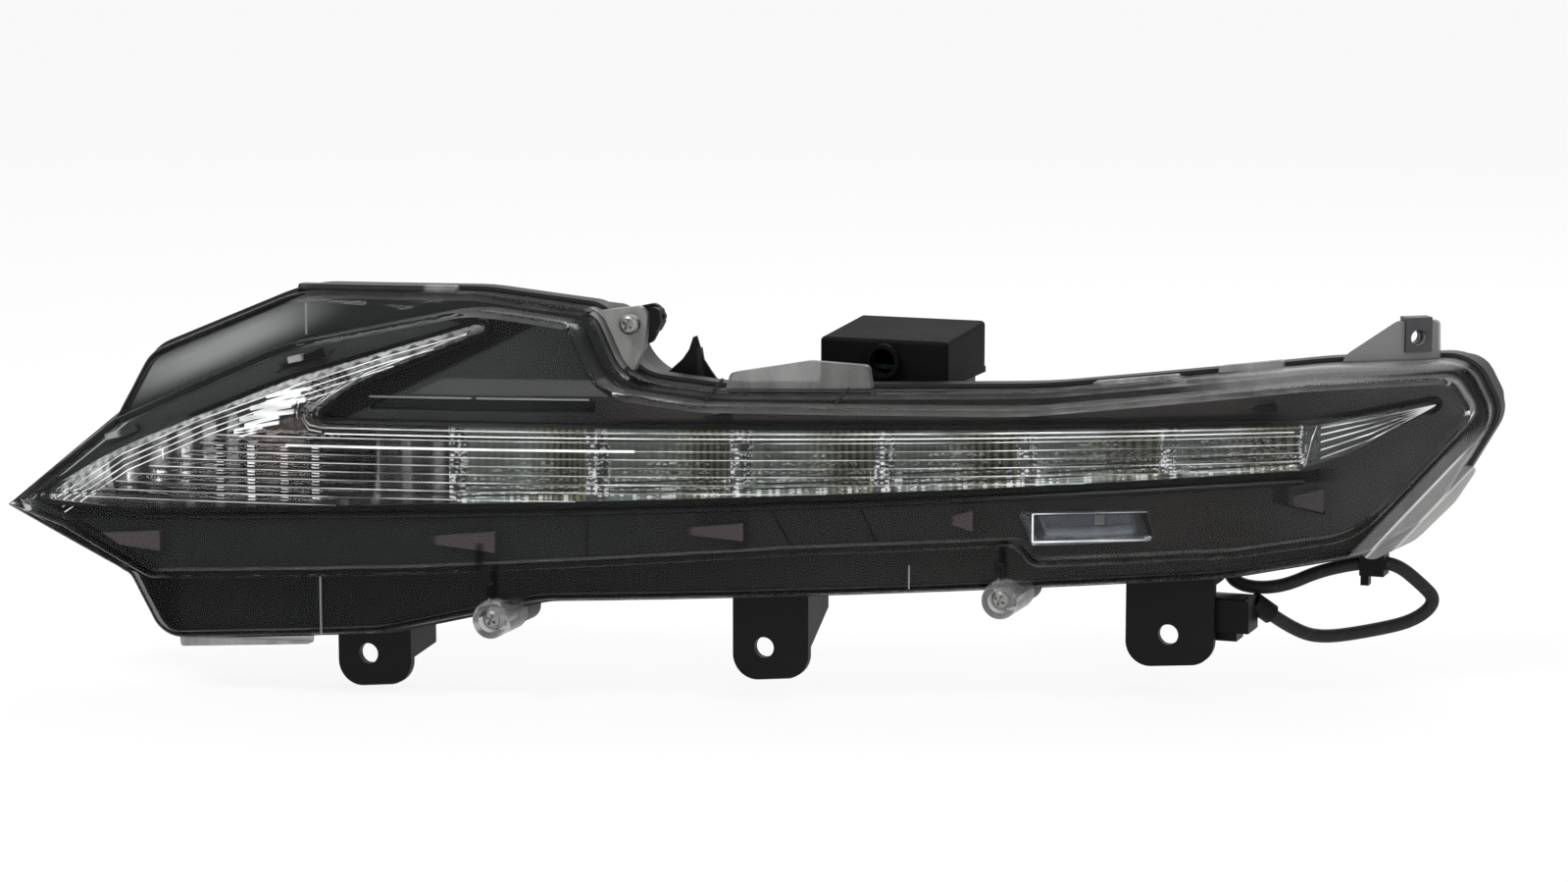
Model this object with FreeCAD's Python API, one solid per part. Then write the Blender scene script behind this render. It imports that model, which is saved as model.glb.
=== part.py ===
import FreeCAD, Part
import math
import os
from FreeCAD import Vector

# Auxiliary driving light, left-hand lamp, in millimetres.
# X runs along the lamp, -Y is the way it shines and +Z is up. The origin is the centre bracket's bolt hole.
# Every layer of the lamp follows one upright cylindrical skin, and a depth is measured inwards from it.

# Skin
skin_radius = 994.0
skin_axis_x = -318.0
skin_axis_y = 895.0
draw_front = -200.0
draw_back = 300.0
skin_height = 600.0
skin_sector = 60.0
skin_sector_start = -100.0

# Fits
seat_gap = 0.2
slide_gap = 0.4

# Outer lens
lens_wall = 2.5
lens_depth = 26.0
lobe_step = 12.0
plate_round = 2.4
lobe_round = 5.5
tab_wall = 3.0
tab_depth = 20.0
tab_hole_radius = 3.0
ear_radius = 6.5
ear_front_depth = 9.0
ear_bore_depth = 5.0
ear_bore_radius = 4.2
ear_rib_wall = 1.4
ear_rib_height = 13.0

# Sealing channel and rear housing
seal_height = 1.8
seal_side_gap = 0.1
lip_gap = 0.3
lip_wall = 1.4
lip_height = 4.0
rib_height = 6.0
flange_wall = 2.5
housing_wall = 2.4
body_inset = 3.0
body_depth = 58.0
core_depth = 78.0
rear_round = 4.0
boss_radius = 5.5
boss_length = 14.0
back_rib_wall = 2.2
back_rib_height = 2.5
post_radius = 4.0
fin_depth = 38.0
fin_wall = 3.0

# Bezel
bezel_depth = 9.0
bezel_wall = 2.0
bezel_lobe_gap = 3.0
frame_wall = 1.6
frame_height = 3.0
shelf_depth = 4.0
hook_height = 3.6
hook_sink = 0.6
hook_point = 0.3

# Light bar
bar_lens_depth = 5.0
bar_lens_wall = 1.8
flute_pitch = 3.0
flute_height = 0.8
flute_count = 9
contour_rib_pitch = 2.6
contour_rib_width = 0.9
contour_rib_count = 3
blade_gap = 0.3
blade_ridge_count = 4
blade_ridge_width = 1.2

# LED cells
cell_count = 6
cell_pitch_angle = 2.957
first_cell_angle = 13.1
cell_rim = 1.8
cell_apex_depth = 35.0
cell_apex_shift = 6.0
cell_left_facets = 6
cell_right_facets = 4
cell_top = 82.6
cell_bottom_left = 61.5
cell_bottom_right = 70.0
reflector_wall = 1.8
reflector_overlap = 1.5
led_size = 3.6
led_height = 1.4
led_window = 5.0
board_wall = 1.6
sink_wall = 2.0
sink_fin_height = 11.0
sink_fin_wall = 1.8
sink_fin_count = 20
sink_end = 13.0

# Turn signal
bulb_x = -165.0
bulb_z = 73.0
bowl_focus = 16.0
bowl_apex_depth = 50.0
bowl_neck_radius = 10.4
bowl_shift = 2.6
bowl_rings = 12
bulb_radius = 9.0
bulb_length = 27.0
dome_rings = 8
bulb_base_radius = 6.0
bulb_base_length = 8.0
socket_lead = 1.0
socket_neck_radius = 10.0
collar_bore_radius = 14.0
collar_wall = 3.5
collar_height = 5.0
collar_length = 14.0
socket_body_radius = 13.6
socket_body_length = 12.0
socket_flange_radius = 19.0
socket_flange_wall = 3.0
socket_seal_height = 2.0
socket_grip_length = 16.0
socket_tower = 18.0
socket_tower_height = 10.8
socket_tower_wall = 1.5
socket_grip_width = 34.0

# Corner lamp
corner_lens_depth = 7.5
corner_wall = 1.4
corner_pocket_depth = 23.0
corner_step = 1.2
corner_led_size = 3.0
corner_led_height = 1.0

# Brackets
bracket_wall = 3.0
bracket_hole_radius = 3.75
bracket_reach = 17.0
bracket_drop = 13.0
bracket_foot_length = 14.0
bracket_flange_depth = 22.0
bracket_corner = 9.0
pad_height = 12.0
screw_radius = 1.9
screw_hole_radius = 2.0
screw_pass_radius = 2.3
screw_head_radius = 3.6
screw_head_height = 2.6
bracket_screw_length = 6.0
lens_screw_grip = 11.0

# Driver box
driver_left = 17.0
driver_right = 65.0
driver_front = 12.0
driver_back = 58.0
driver_floor = 96.0
driver_top = 112.5
driver_rise = 2.5
driver_base_wall = 2.2
driver_wall = 2.0
driver_round = 1.6
driver_board_lift = 3.0
driver_pad_inset = 3.0
driver_pad_height = 9.0
port_x = 41.5
port_z = 105.0
port_radius = 6.2
port_wall = 1.5
port_length = 3.0

# Clips and harness
clip_wall = 2.0
nut_clip_size = 10.0
nut_clip_wall = 1.2
nut_bore_radius = 2.5
nut_collar_length = 3.6
cable_radius = 2.5
cable_arc_share = 0.45
grommet_radius = 5.0
grommet_flange = 2.0
grommet_neck_radius = 4.0
grommet_neck_length = 6.0
grommet_pad_radius = 8.0
cable_clip_width = 9.0
cable_clip_wall = 2.2
clip_stem = 3.5
clip_nub = 4.0
connector_wall = 1.8
connector_cavity = 9.0
connector_boot_radius = 3.8
connector_boot_length = 9.0
connector_rib = 0.8
connector_rib_count = 4
breather_radius = 7.0
breather_stem_radius = 4.9
breather_height = 6.0

# Outlines seen along Y, as (x, z, corner radius)
LENS_FOOT = [
    (-262, 50, 0), (-218.5, 85, 5), (-205.5, 108, 14), (-150, 131.5, 40), (-87, 131.5, 60), (-46, 126, 9),
    (-36, 102, 16), (-5, 97.5, 60), (100, 97, 200), (190, 104, 120), (236, 104.5, 14), (245, 84, 12),
    (226, 48.5, 30), (204, 35, 25), (160, 28.5, 80), (-66, 22, 30), (-122, 9, 40), (-203, 4, 12),
    (-215, 27, 5)]
LENS_PLATE = [
    (-254, 53, 0), (-212.5, 85.5, 6), (-150, 114, 60), (-84, 128, 50), (-49.5, 123, 6), (-39.5, 99.5, 16),
    (-8, 94.5, 50), (100, 92.5, 150), (190, 99.5, 100), (234, 100.5, 8), (242, 86.5, 8), (205, 43, 25),
    (164, 38, 60), (101, 36.5, 6), (96, 44, 6), (25, 41.5, 60), (-105, 33, 100), (-200, 28.5, 10),
    (-233, 46, 10)]
LIGHT_BAR = [
    (-245, 55.5, 1), (-213, 74.5, 150), (-150, 100.5, 200), (-80, 122.5, 1.2), (-81, 119.5, 1.2),
    (-124, 101.5, 60), (-143, 88, 3), (-136, 85.5, 3), (189, 84.2, 40), (232, 92, 1), (203, 74.5, 40),
    (184, 68.5, 60), (97, 65, 200), (-106, 58, 200), (-209, 53.2, 100)]
BLADE_JOINT = ((186.0, 64.0), (192.5, 90.0))
ARM_ZONE = [(-270, 60, 0), (-215, 60, 0), (-160, 87, 0), (-60, 87, 0), (-60, 140, 0), (-270, 140, 0)]
CORNER_WINDOW = [(94.8, 55.7, 2), (136, 55.5, 2), (139.6, 44, 2), (99.6, 43, 2)]
ARM_SHELF = [(-124, 90.5, 1), (-118, 95, 1), (-44, 95.3, 1), (-44, 90.5, 1)]
HOUSING_CORE = [
    (-215, 42, 15), (-200, 92, 18), (-150, 112, 25), (-80, 112, 18), (-60, 88, 12), (200, 88, 12),
    (205, 60, 12), (-60, 45, 30), (-110, 35, 30), (-190, 30, 15)]
HOUSING_FIN = [(-34, 92, 0), (-24, 98, 14), (-20, 114, 1), (-17.5, 99, 14), (-13, 92, 0)]

# Lens tabs, as outlines that reach into the lens wall
LENS_TABS = {
    "top_strip": [(-152, 128, 0), (-152, 133.5, 1), (-96, 133.5, 1), (-96, 128, 0)],
    "tall_tab": [
        (-50, 118, 0), (-48, 125.2, 1), (-33, 127.1, 2), (-30.5, 124, 2), (-31.5, 112.5, 2), (-38, 98, 0)],
    "mid_tab": [(-6, 92, 0), (-2.7, 103.6, 2), (23.3, 107.8, 6), (42.7, 106, 2), (44.5, 92, 0)],
    "low_clip": [(114, 94, 0), (116, 99.6, 1), (143, 101.6, 1), (144, 94, 0)],
    "high_clip": [(155, 96, 0), (156, 104.2, 1), (176, 105.8, 1), (177, 96, 0)],
    "corner_tab": [(194, 100, 0), (196, 107, 6), (212, 118.5, 2), (225.5, 118.5, 2), (226, 100, 0)],
    "right_ledge": [
        (200, 38, 0), (205, 31.5, 4), (220, 39, 12), (232, 52, 12), (239, 64, 2), (232, 66, 0)],
    "bottom_strip": [(-199, 8, 0), (-198, 0.5, 1), (-150, 3.2, 1), (-149, 10, 0)]}
NUT_PLACE = (219.0, 112.5)
TAB_SCREW_PLACE = (-35.5, 121.0)
TAB_CLIP_LEAF = [(-39.5, 116, 1), (-37.5, 126, 2), (-28.5, 128, 3), (-25.5, 123, 2), (-30.5, 113, 2)]
TAB_CLIP_HOOK = [(-29, 115, 1), (-29.9, 127, 1), (-26.5, 126, 2), (-26, 121, 1)]

# Lens screw ears (x, z), and locating wedges on the bezel (x, z, length, width, slope)
LENS_EARS = [(-81.0, 15.8), (89.2, 23.3)]
BEZEL_HOOKS = [
    (-214, 41.5, 32, 7, 0), (-92, 44.5, 28, 7, 0), (-6, 49, 24, 6, 0), (76, 52.5, 9, 7, 0),
    (186, 57, 13, 8, 0),
    (-148, 107, 22, 3.6, 20), (-215, 77.8, 20, 3, 28), (-4, 89.8, 13, 2.8, 6), (99, 88.8, 11, 2.6, 6),
    (172, 90.6, 10, 3, 6)]

# Brackets: name, hole x, front plane y, hole z, reach to the left, foot z, side flange or not
BRACKETS = {
    "bracket_left": (-138.5, -40.0, -4.2, 12.0, 6.0, True),
    "bracket_centre": (0.0, 0.0, 0.0, 12.0, 21.0, True),
    "bracket_right": (135.0, 58.0, 3.0, 16.0, 25.0, False)}
BRACKET_SCREW_OFFSETS = (-5.0, 10.0)
BRACKET_SCREW_BACK = 9.0

# Cable route from the grommet to the connector's boot
CABLE_ROUTE = [
    (152, 77, 26.5), (152.8, 77.2, 22.4), (157, 78.6, 19), (164.5, 81, 18), (173, 84.5, 19.3),
    (182, 89, 23.5), (191.5, 93, 26), (202, 96.5, 27.5), (210, 99, 26.5), (217.5, 102, 20),
    (224, 104.5, 13), (216.5, 102.2, 5.5), (202, 97, 1.8), (184, 90, -1), (174.5, 84.5, 3), (168, 79, 9)]
CABLE_CLIP_POINT = 7
CONNECTOR_BOX = ((144.0, 61.2, 4.5), (164.0, 75.5, 16.5))
CONNECTOR_LATCH = ((151.0, 64.0, 0.9), (159.0, 74.0, 5.0))
BREATHER_PLACE = (120.0, 73.0)
BACK_RIBS = (-125.0, -70.0, -20.0, 30.0, 80.0, 160.0)


def corner_arc(before, corner, after):
    """Start, middle and end of the arc that rounds one corner of an outline."""
    here = Vector(corner[0], 0, corner[1])
    if corner[2] == 0:
        return here, here, here
    to_before = (Vector(before[0], 0, before[1]) - here).normalize()
    to_after = (Vector(after[0], 0, after[1]) - here).normalize()
    half_angle = to_before.getAngle(to_after) / 2
    bisector = (to_before + to_after).normalize()
    reach = corner[2] / math.tan(half_angle)
    middle = here + bisector * (corner[2] / math.sin(half_angle) - corner[2])
    return here + to_before * reach, middle, here + to_after * reach


def outline(corners):
    """Flat face in the XZ plane through (x, z, corner radius) points."""
    count = len(corners)
    arcs = [corner_arc(corners[i - 1], corners[i], corners[(i + 1) % count]) for i in range(count)]
    edges = []
    for i, (start, middle, end) in enumerate(arcs):
        if start != end:
            edges.append(Part.Arc(start, middle, end).toShape())
        edges.append(Part.LineSegment(end, arcs[(i + 1) % count][0]).toShape())
    return Part.Face(Part.Wire(edges))


def rectangle(left, bottom, right, top):
    return outline([(left, bottom, 0), (left, top, 0), (right, top, 0), (right, bottom, 0)])


def grown(face, distance):
    """Outline moved outwards, or inwards by a negative distance."""
    return face.makeOffset2D(distance)


def prism(face, front, back):
    """Outline carried along Y between two planes."""
    start = face.copy()
    start.translate(Vector(0, front, 0))
    return start.extrude(Vector(0, back - front, 0))


def skin_solid(depth):
    """Sector of the upright cylinder whose face is the skin at a depth."""
    axis = Vector(skin_axis_x, skin_axis_y, -skin_height / 2)
    sector = Part.makeCylinder(skin_radius - depth, skin_height, axis, Vector(0, 0, 1), skin_sector)
    sector.rotate(axis, Vector(0, 0, 1), skin_sector_start)
    return sector


def column(face, front, back):
    """Outline carried along Y and kept between two depths."""
    return prism(face, draw_front, draw_back).common(skin_solid(front)).cut(skin_solid(back))


def skin_y(x, depth):
    """Y of the skin at a depth."""
    return skin_axis_y - math.sqrt((skin_radius - depth) ** 2 - (x - skin_axis_x) ** 2)


def lies_on_skin(point, depth):
    reach = math.hypot(point.x - skin_axis_x, point.y - skin_axis_y)
    return abs(reach - skin_radius + depth) < 0.001


def round_rim(solid, depth, radius):
    """Rounds the rim that a column has at one depth."""
    rim = []
    for edge in solid.Edges:
        middle = edge.valueAt((edge.FirstParameter + edge.LastParameter) / 2)
        if all(lies_on_skin(point, depth) for point in [middle] + [v.Point for v in edge.Vertexes]):
            rim.append(edge)
    return solid.makeFillet(radius, rim)


def at_angle(shape, angle, depth, z):
    """Sets a shape drawn with X along the skin, Y inwards and Z up at an angle about the skin's axis."""
    reach = skin_radius - depth
    placed = shape.copy()
    placed.rotate(Vector(0, 0, 0), Vector(0, 0, 1), angle)
    turn = math.radians(angle)
    placed.translate(Vector(skin_axis_x + reach * math.sin(turn), skin_axis_y - reach * math.cos(turn), z))
    return placed


def on_skin(shape, x, z, depth):
    """Sets such a shape on the skin at a given x."""
    return at_angle(shape, math.degrees(math.asin((x - skin_axis_x) / (skin_radius - depth))), depth, z)


def box(low, high):
    size = [high[i] - low[i] for i in range(3)]
    return Part.makeBox(size[0], size[1], size[2], Vector(*low))


def rod(x, z, radius, front, back):
    """Cylinder along Y."""
    return Part.makeCylinder(radius, back - front, Vector(x, front, z), Vector(0, 1, 0))


def upright(x, y, radius, bottom, top):
    """Cylinder along Z."""
    return Part.makeCylinder(radius, top - bottom, Vector(x, y, bottom), Vector(0, 0, 1))


def joined(shapes):
    result = shapes[0].fuse(list(shapes[1:]))
    return result.removeSplitter()


def solid_of_revolution(profile, centre):
    """Revolves (radius, y) points about an axis along Y through (x, z)."""
    points = [Vector(centre[0] + radius, y, centre[1]) for radius, y in profile]
    face = Part.Face(Part.makePolygon(points + points[:1]))
    return face.revolve(Vector(centre[0], 0, centre[1]), Vector(0, 1, 0), 360)


# Outlines that several pieces share
foot_face = outline(LENS_FOOT)
plate_face = outline(LENS_PLATE)
bar_face = outline(LIGHT_BAR)
corner_face = outline(CORNER_WINDOW)
core_face = outline(HOUSING_CORE)
lens_foot_inside = grown(foot_face, -lens_wall)
lens_plate_inside = grown(plate_face, -lens_wall)

# Depths that follow from the sizes above
lens_lobe_inside = lobe_step + lens_wall
channel_floor = lens_depth + seal_height + seat_gap
rib_front = channel_floor - rib_height
bezel_back = bezel_depth + bezel_wall
bezel_lobe_depth = lens_lobe_inside + bezel_lobe_gap
bezel_end = rib_front - seat_gap
reflector_front = bezel_back + seat_gap
reflector_back = reflector_front + reflector_wall
board_depth = cell_apex_depth + reflector_wall + seat_gap
sink_depth = board_depth + board_wall + seat_gap
sink_back = sink_depth + sink_wall
tab_back = tab_depth + tab_wall

# Outlines that follow from the shared ones
bezel_plate_face = grown(plate_face, -(lens_wall + slide_gap))
bezel_foot_face = grown(foot_face, -(lens_wall + slide_gap))
inside_bezel_face = grown(bezel_plate_face, -(bezel_wall + slide_gap))
body_face = grown(foot_face, -body_inset)


def lens_ear(x, z, radius):
    """Rod of a lens screw's ear, from its front face to the lens foot."""
    return rod(x, z, radius, skin_y(x, ear_front_depth), draw_back).cut(skin_solid(lens_depth))


def ear_rib(x, z):
    half = ear_rib_wall / 2
    rib = rectangle(x - half, z, x + half, z + ear_rib_height)
    return column(rib, ear_front_depth, lens_depth)


def outer_lens():
    plate = round_rim(column(plate_face, 0, lens_depth), 0, plate_round)
    lobe = round_rim(column(foot_face, lobe_step, lens_depth), lobe_step, lobe_round)
    ears = [lens_ear(x, z, ear_radius) for x, z in LENS_EARS]
    ribs = [ear_rib(x, z) for x, z in LENS_EARS]
    tabs = [column(outline(corners), tab_depth, tab_back) for corners in LENS_TABS.values()]
    outside = joined([lobe, plate] + ears + ribs + tabs)
    plate_room = column(lens_plate_inside, lens_wall, channel_floor)
    lobe_room = column(lens_foot_inside, lens_lobe_inside, channel_floor)
    lens = outside.cut(plate_room.fuse(lobe_room))
    for x, z in LENS_EARS:
        front = skin_y(x, ear_front_depth)
        bore = rod(x, z, ear_bore_radius, front, front + ear_bore_depth)
        lens = lens.cut(bore).cut(rod(x, z, screw_pass_radius, front, draw_back))
    nut_hole = rod(0, 0, tab_hole_radius, -tab_wall, 2 * tab_wall)
    nut_hole = on_skin(nut_hole, NUT_PLACE[0], NUT_PLACE[1], tab_depth)
    tab_hole = rod(TAB_SCREW_PLACE[0], TAB_SCREW_PLACE[1], screw_pass_radius, draw_front, draw_back)
    return lens.cut(nut_hole).cut(tab_hole)


def lens_screws():
    screws = []
    for x, z in LENS_EARS:
        seat = skin_y(x, ear_front_depth) + ear_bore_depth
        end = skin_y(x, channel_floor) + lens_screw_grip
        head = rod(x, z, screw_head_radius, seat - screw_head_height, seat)
        screws.append(joined([head, rod(x, z, screw_radius, seat, end)]))
    return Part.makeCompound(screws)


def lens_seal():
    outer = grown(foot_face, lip_gap - seal_side_gap)
    inner = grown(foot_face, -(lens_wall + slide_gap - seal_side_gap))
    front = lens_depth + seat_gap / 2
    return column(outer, front, front + seal_height).cut(column(inner, lens_depth, channel_floor))


def bezel_hook(x, z, length, width, slope):
    """Pointed ramp that rises along the bezel and ends in an upright face."""
    half = length / 2
    low = Vector(-half, hook_sink, -width / 2)
    high = Vector(half, hook_sink, -width / 2)
    tip = Vector(half, -hook_height, -width / 2)
    ramp = Part.Face(Part.makePolygon([low, high, tip, low])).extrude(Vector(0, 0, width))
    blunt = width * hook_point / 2
    plan = outline([(-half, -blunt, 0), (-half, blunt, 0), (half, width / 2, 0), (half, -width / 2, 0)])
    ramp = ramp.common(prism(plan, -2 * hook_height, 2 * hook_height))
    ramp.rotate(Vector(0, 0, 0), Vector(0, 1, 0), -slope)
    return on_skin(ramp, x, z, bezel_depth)


def front_bezel():
    plate = column(bezel_plate_face, bezel_depth, bezel_lobe_depth + bezel_wall)
    lobe = column(bezel_foot_face, bezel_lobe_depth, bezel_end)
    frame_face = grown(bar_face, slide_gap + frame_wall).common(bezel_plate_face)
    frame = column(frame_face, bezel_depth - frame_height, bezel_back)
    shelf_face = outline(ARM_SHELF)
    shelf_floor = bezel_depth + shelf_depth
    shelf = column(grown(shelf_face, bezel_wall), bezel_depth, shelf_floor + bezel_wall)
    plate_room = column(grown(bezel_plate_face, -bezel_wall), bezel_back, channel_floor)
    lobe_room = column(grown(bezel_foot_face, -bezel_wall), bezel_lobe_depth + bezel_wall, channel_floor)
    panel = joined([plate, lobe]).cut(plate_room.fuse(lobe_room))
    plate_prism = prism(bezel_plate_face, draw_front, draw_back)
    panel = joined([panel, frame, shelf] + [bezel_hook(*hook).common(plate_prism) for hook in BEZEL_HOOKS])
    window = column(grown(bar_face, slide_gap), 0, channel_floor)
    panel = panel.cut(column(shelf_face, 0, shelf_floor)).cut(window)
    return panel.cut(column(corner_face, 0, channel_floor))


def bar_cover():
    """Clear box over the light bar, open at its back."""
    solid = column(bar_face, bar_lens_depth, bezel_back)
    room = column(grown(bar_face, -bar_lens_wall), bar_lens_depth + bar_lens_wall, channel_floor)
    return solid.cut(room)


def blade_zone(side, gap):
    """Flat region on one side of the joint between inner lens and end blade."""
    (low_x, low_z), (high_x, high_z) = BLADE_JOINT
    far = draw_back * side
    shift = gap * side
    lean = (high_x - low_x) / (high_z - low_z)
    bottom, top = -draw_back, draw_back
    low_end = low_x + (bottom - low_z) * lean + shift
    high_end = low_x + (top - low_z) * lean + shift
    return outline([(low_end, bottom, 0), (high_end, top, 0), (far, top, 0), (far, bottom, 0)])


def flute(z):
    """Ridge along the skin with a three-cornered section."""
    base = skin_radius - bar_lens_depth - flute_height / 2
    crest = skin_radius - bar_lens_depth + flute_height
    half = flute_pitch / 2
    corners = [Vector(skin_axis_x + base, skin_axis_y, z - half), Vector(skin_axis_x + crest, skin_axis_y, z),
               Vector(skin_axis_x + base, skin_axis_y, z + half)]
    section = Part.Face(Part.makePolygon(corners + corners[:1]))
    axis = Vector(skin_axis_x, skin_axis_y, 0)
    section.rotate(axis, Vector(0, 0, 1), skin_sector_start)
    return section.revolve(axis, Vector(0, 0, 1), skin_sector)


def inner_lens():
    zone = blade_zone(-1, blade_gap / 2)
    arm_face = outline(ARM_ZONE)
    flute_face = grown(bar_face, -bar_lens_wall).cut(arm_face).common(zone)
    flute_room = prism(flute_face, draw_front, draw_back)
    top = LIGHT_BAR[7][1] - bar_lens_wall
    flutes = [flute(top - flute_pitch * (i + 0.5)).common(flute_room) for i in range(flute_count)]
    ribs = []
    for i in range(contour_rib_count):
        inset = contour_rib_pitch * (i + 0.5)
        ring = grown(bar_face, -inset).cut(grown(bar_face, -(inset + contour_rib_width)))
        rib = ring.common(arm_face)
        ribs.append(column(rib, bar_lens_depth - flute_height, bar_lens_depth + flute_height / 2))
    cover = bar_cover().common(prism(zone, draw_front, draw_back))
    return joined([cover] + flutes + ribs)


def end_blade():
    zone = blade_zone(1, blade_gap / 2)
    cover = bar_cover().common(prism(zone, draw_front, draw_back))
    (low_x, low_z), (high_x, high_z) = BLADE_JOINT
    tip_x, tip_z = LIGHT_BAR[9][0], LIGHT_BAR[9][1]
    ridges = []
    for i in range(blade_ridge_count):
        share = (i + 1) / (blade_ridge_count + 1)
        start_x = low_x + (high_x - low_x) * share
        start_z = low_z + (high_z - low_z) * share
        half = blade_ridge_width / 2
        ridge = outline([(start_x, start_z - half, 0), (start_x, start_z + half, 0), (tip_x, tip_z, 0)])
        ridge = ridge.common(grown(bar_face, -bar_lens_wall)).common(zone)
        ridges.append(column(ridge, bar_lens_depth - flute_height, bar_lens_depth + flute_height / 2))
    return joined([cover] + ridges)


def cell_angle(i):
    return first_cell_angle + cell_pitch_angle * (i + 0.5)


def cell_bottom(i):
    return cell_bottom_left + (cell_bottom_right - cell_bottom_left) * i / (cell_count - 1)


def cell_half_width():
    return (skin_radius - reflector_front) * math.radians(cell_pitch_angle) / 2 - cell_rim


def cell_solid(half_width, rim_depth, apex_depth, bottom, top):
    """Bowl of one cell: flat facets on two half parabolas that meet at the LED."""
    rise = apex_depth - rim_depth
    left_reach = half_width + cell_apex_shift
    right_reach = half_width - cell_apex_shift
    plan = []
    for k in range(cell_left_facets):
        share = 1 - k / cell_left_facets
        plan.append((cell_apex_shift - left_reach * share, apex_depth - rise * share ** 2))
    for k in range(cell_right_facets + 1):
        share = k / cell_right_facets
        plan.append((cell_apex_shift + right_reach * share, apex_depth - rise * share ** 2))
    points = [Vector(u, v, bottom) for u, v in plan]
    return Part.Face(Part.makePolygon(points + points[:1])).extrude(Vector(0, 0, top - bottom))


def drl_reflector():
    left = skin_axis_x + (skin_radius - reflector_front) * math.sin(math.radians(first_cell_angle))
    zone = rectangle(left, 0, draw_back, ARM_SHELF[1][1])
    flange_face = grown(bar_face, reflector_overlap).common(zone).common(inside_bezel_face)
    solids = [column(flange_face, reflector_front, reflector_back)]
    rooms = []
    half = cell_half_width()
    rim = reflector_front + slide_gap
    for i in range(cell_count):
        low = cell_bottom(i)
        middle = (low + cell_top) / 2
        shell = cell_solid(half + cell_rim - slide_gap, rim, cell_apex_depth + reflector_wall,
                           low - reflector_wall, cell_top + reflector_wall)
        solids.append(at_angle(shell, cell_angle(i), 0, 0))
        bowl = cell_solid(half, rim, cell_apex_depth, low, cell_top)
        mouth = box((-half, bezel_depth, low), (half, rim, cell_top))
        reach = led_window / 2
        window = box((cell_apex_shift - reach, reflector_back, middle - reach),
                     (cell_apex_shift + reach, sink_depth, middle + reach))
        rooms.extend(at_angle(room, cell_angle(i), 0, 0) for room in (bowl, mouth, window))
    reflector = joined(solids)
    for room in rooms:
        reflector = reflector.cut(room)
    return reflector


def led_place(shape, i):
    """Sets a shape drawn about an LED's own centre line at that LED."""
    moved = shape.copy()
    moved.translate(Vector(cell_apex_shift, 0, (cell_bottom(i) + cell_top) / 2))
    return at_angle(moved, cell_angle(i), 0, 0)


def drl_leds():
    half = led_size / 2
    front = board_depth - led_height
    package = box((-half, front, -half), (half, board_depth - seat_gap / 4, half))
    return Part.makeCompound([led_place(package, i) for i in range(cell_count)])


def board_face():
    """Outline of the LED board, between the ends of the first and the last cell."""
    ends = [skin_axis_x + (skin_radius - board_depth) * math.sin(math.radians(first_cell_angle + turn))
            for turn in (0, cell_pitch_angle * cell_count)]
    return outline([(ends[0], cell_bottom_left, 2), (ends[0], cell_top, 2), (ends[1], cell_top, 2),
                    (ends[1], cell_bottom_right, 2)])


def drl_led_board():
    return column(board_face(), board_depth, board_depth + board_wall)


def sink_post_places():
    """Where the housing's posts carry the two ends of the heat sink."""
    low, high = board_face().BoundBox.XMin, board_face().BoundBox.XMax
    middle = (cell_bottom_right + cell_top) / 2
    return [(low - sink_end / 2, middle), (high + sink_end / 2, middle)]


def drl_heat_sink():
    face = board_face()
    low, high = face.BoundBox.XMin, face.BoundBox.XMax
    ends = rectangle(low - sink_end, cell_bottom_right, high + sink_end, cell_top)
    plate = column(face.fuse(ends).removeSplitter(), sink_depth, sink_back)
    half = sink_fin_wall / 2
    fins = []
    for i in range(sink_fin_count):
        x = low + (high - low) * (i + 0.5) / sink_fin_count
        fin = rectangle(x - half, cell_bottom_right, x + half, cell_top)
        fins.append(column(fin, sink_depth, sink_back + sink_fin_height))
    return joined([plate] + fins)


def paraboloid(apex_y, front_y):
    """Solid bowl that opens forwards about the bulb's axis, in rings as a stepped reflector has them."""
    profile = []
    for k in range(bowl_rings + 1):
        y = apex_y + (front_y - apex_y) * (k / bowl_rings) ** 2
        profile.append((math.sqrt(4 * bowl_focus * (apex_y - y)), y))
    return solid_of_revolution(profile + [(0, front_y)], (bulb_x, bulb_z))


def turn_reflector():
    reach = skin_radius - reflector_front
    split = skin_axis_x + reach * math.sin(math.radians(first_cell_angle)) - slide_gap
    shelf_z = ARM_SHELF[1][1]
    zone = outline([(draw_front * 2, 0, 0), (draw_front * 2, draw_back, 0), (0, draw_back, 0),
                    (0, shelf_z, 0), (split, shelf_z, 0), (split, 0, 0)])
    flange_face = grown(bar_face, reflector_overlap).common(zone).common(inside_bezel_face)
    flange = column(flange_face, reflector_front, reflector_back)
    wall_face = bar_face.common(zone).common(inside_bezel_face).Faces[0]
    apex = skin_y(bulb_x, bowl_apex_depth)
    block = column(wall_face, reflector_front, core_depth)
    block = block.common(paraboloid(apex + bowl_shift, draw_front))
    room = column(grown(wall_face, -reflector_wall), bezel_back, core_depth)
    room = room.common(paraboloid(apex, draw_front))
    neck = rod(bulb_x, bulb_z, bowl_neck_radius, apex - bowl_neck_radius, draw_back)
    return flange.fuse(block).cut(room).cut(neck)


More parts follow.
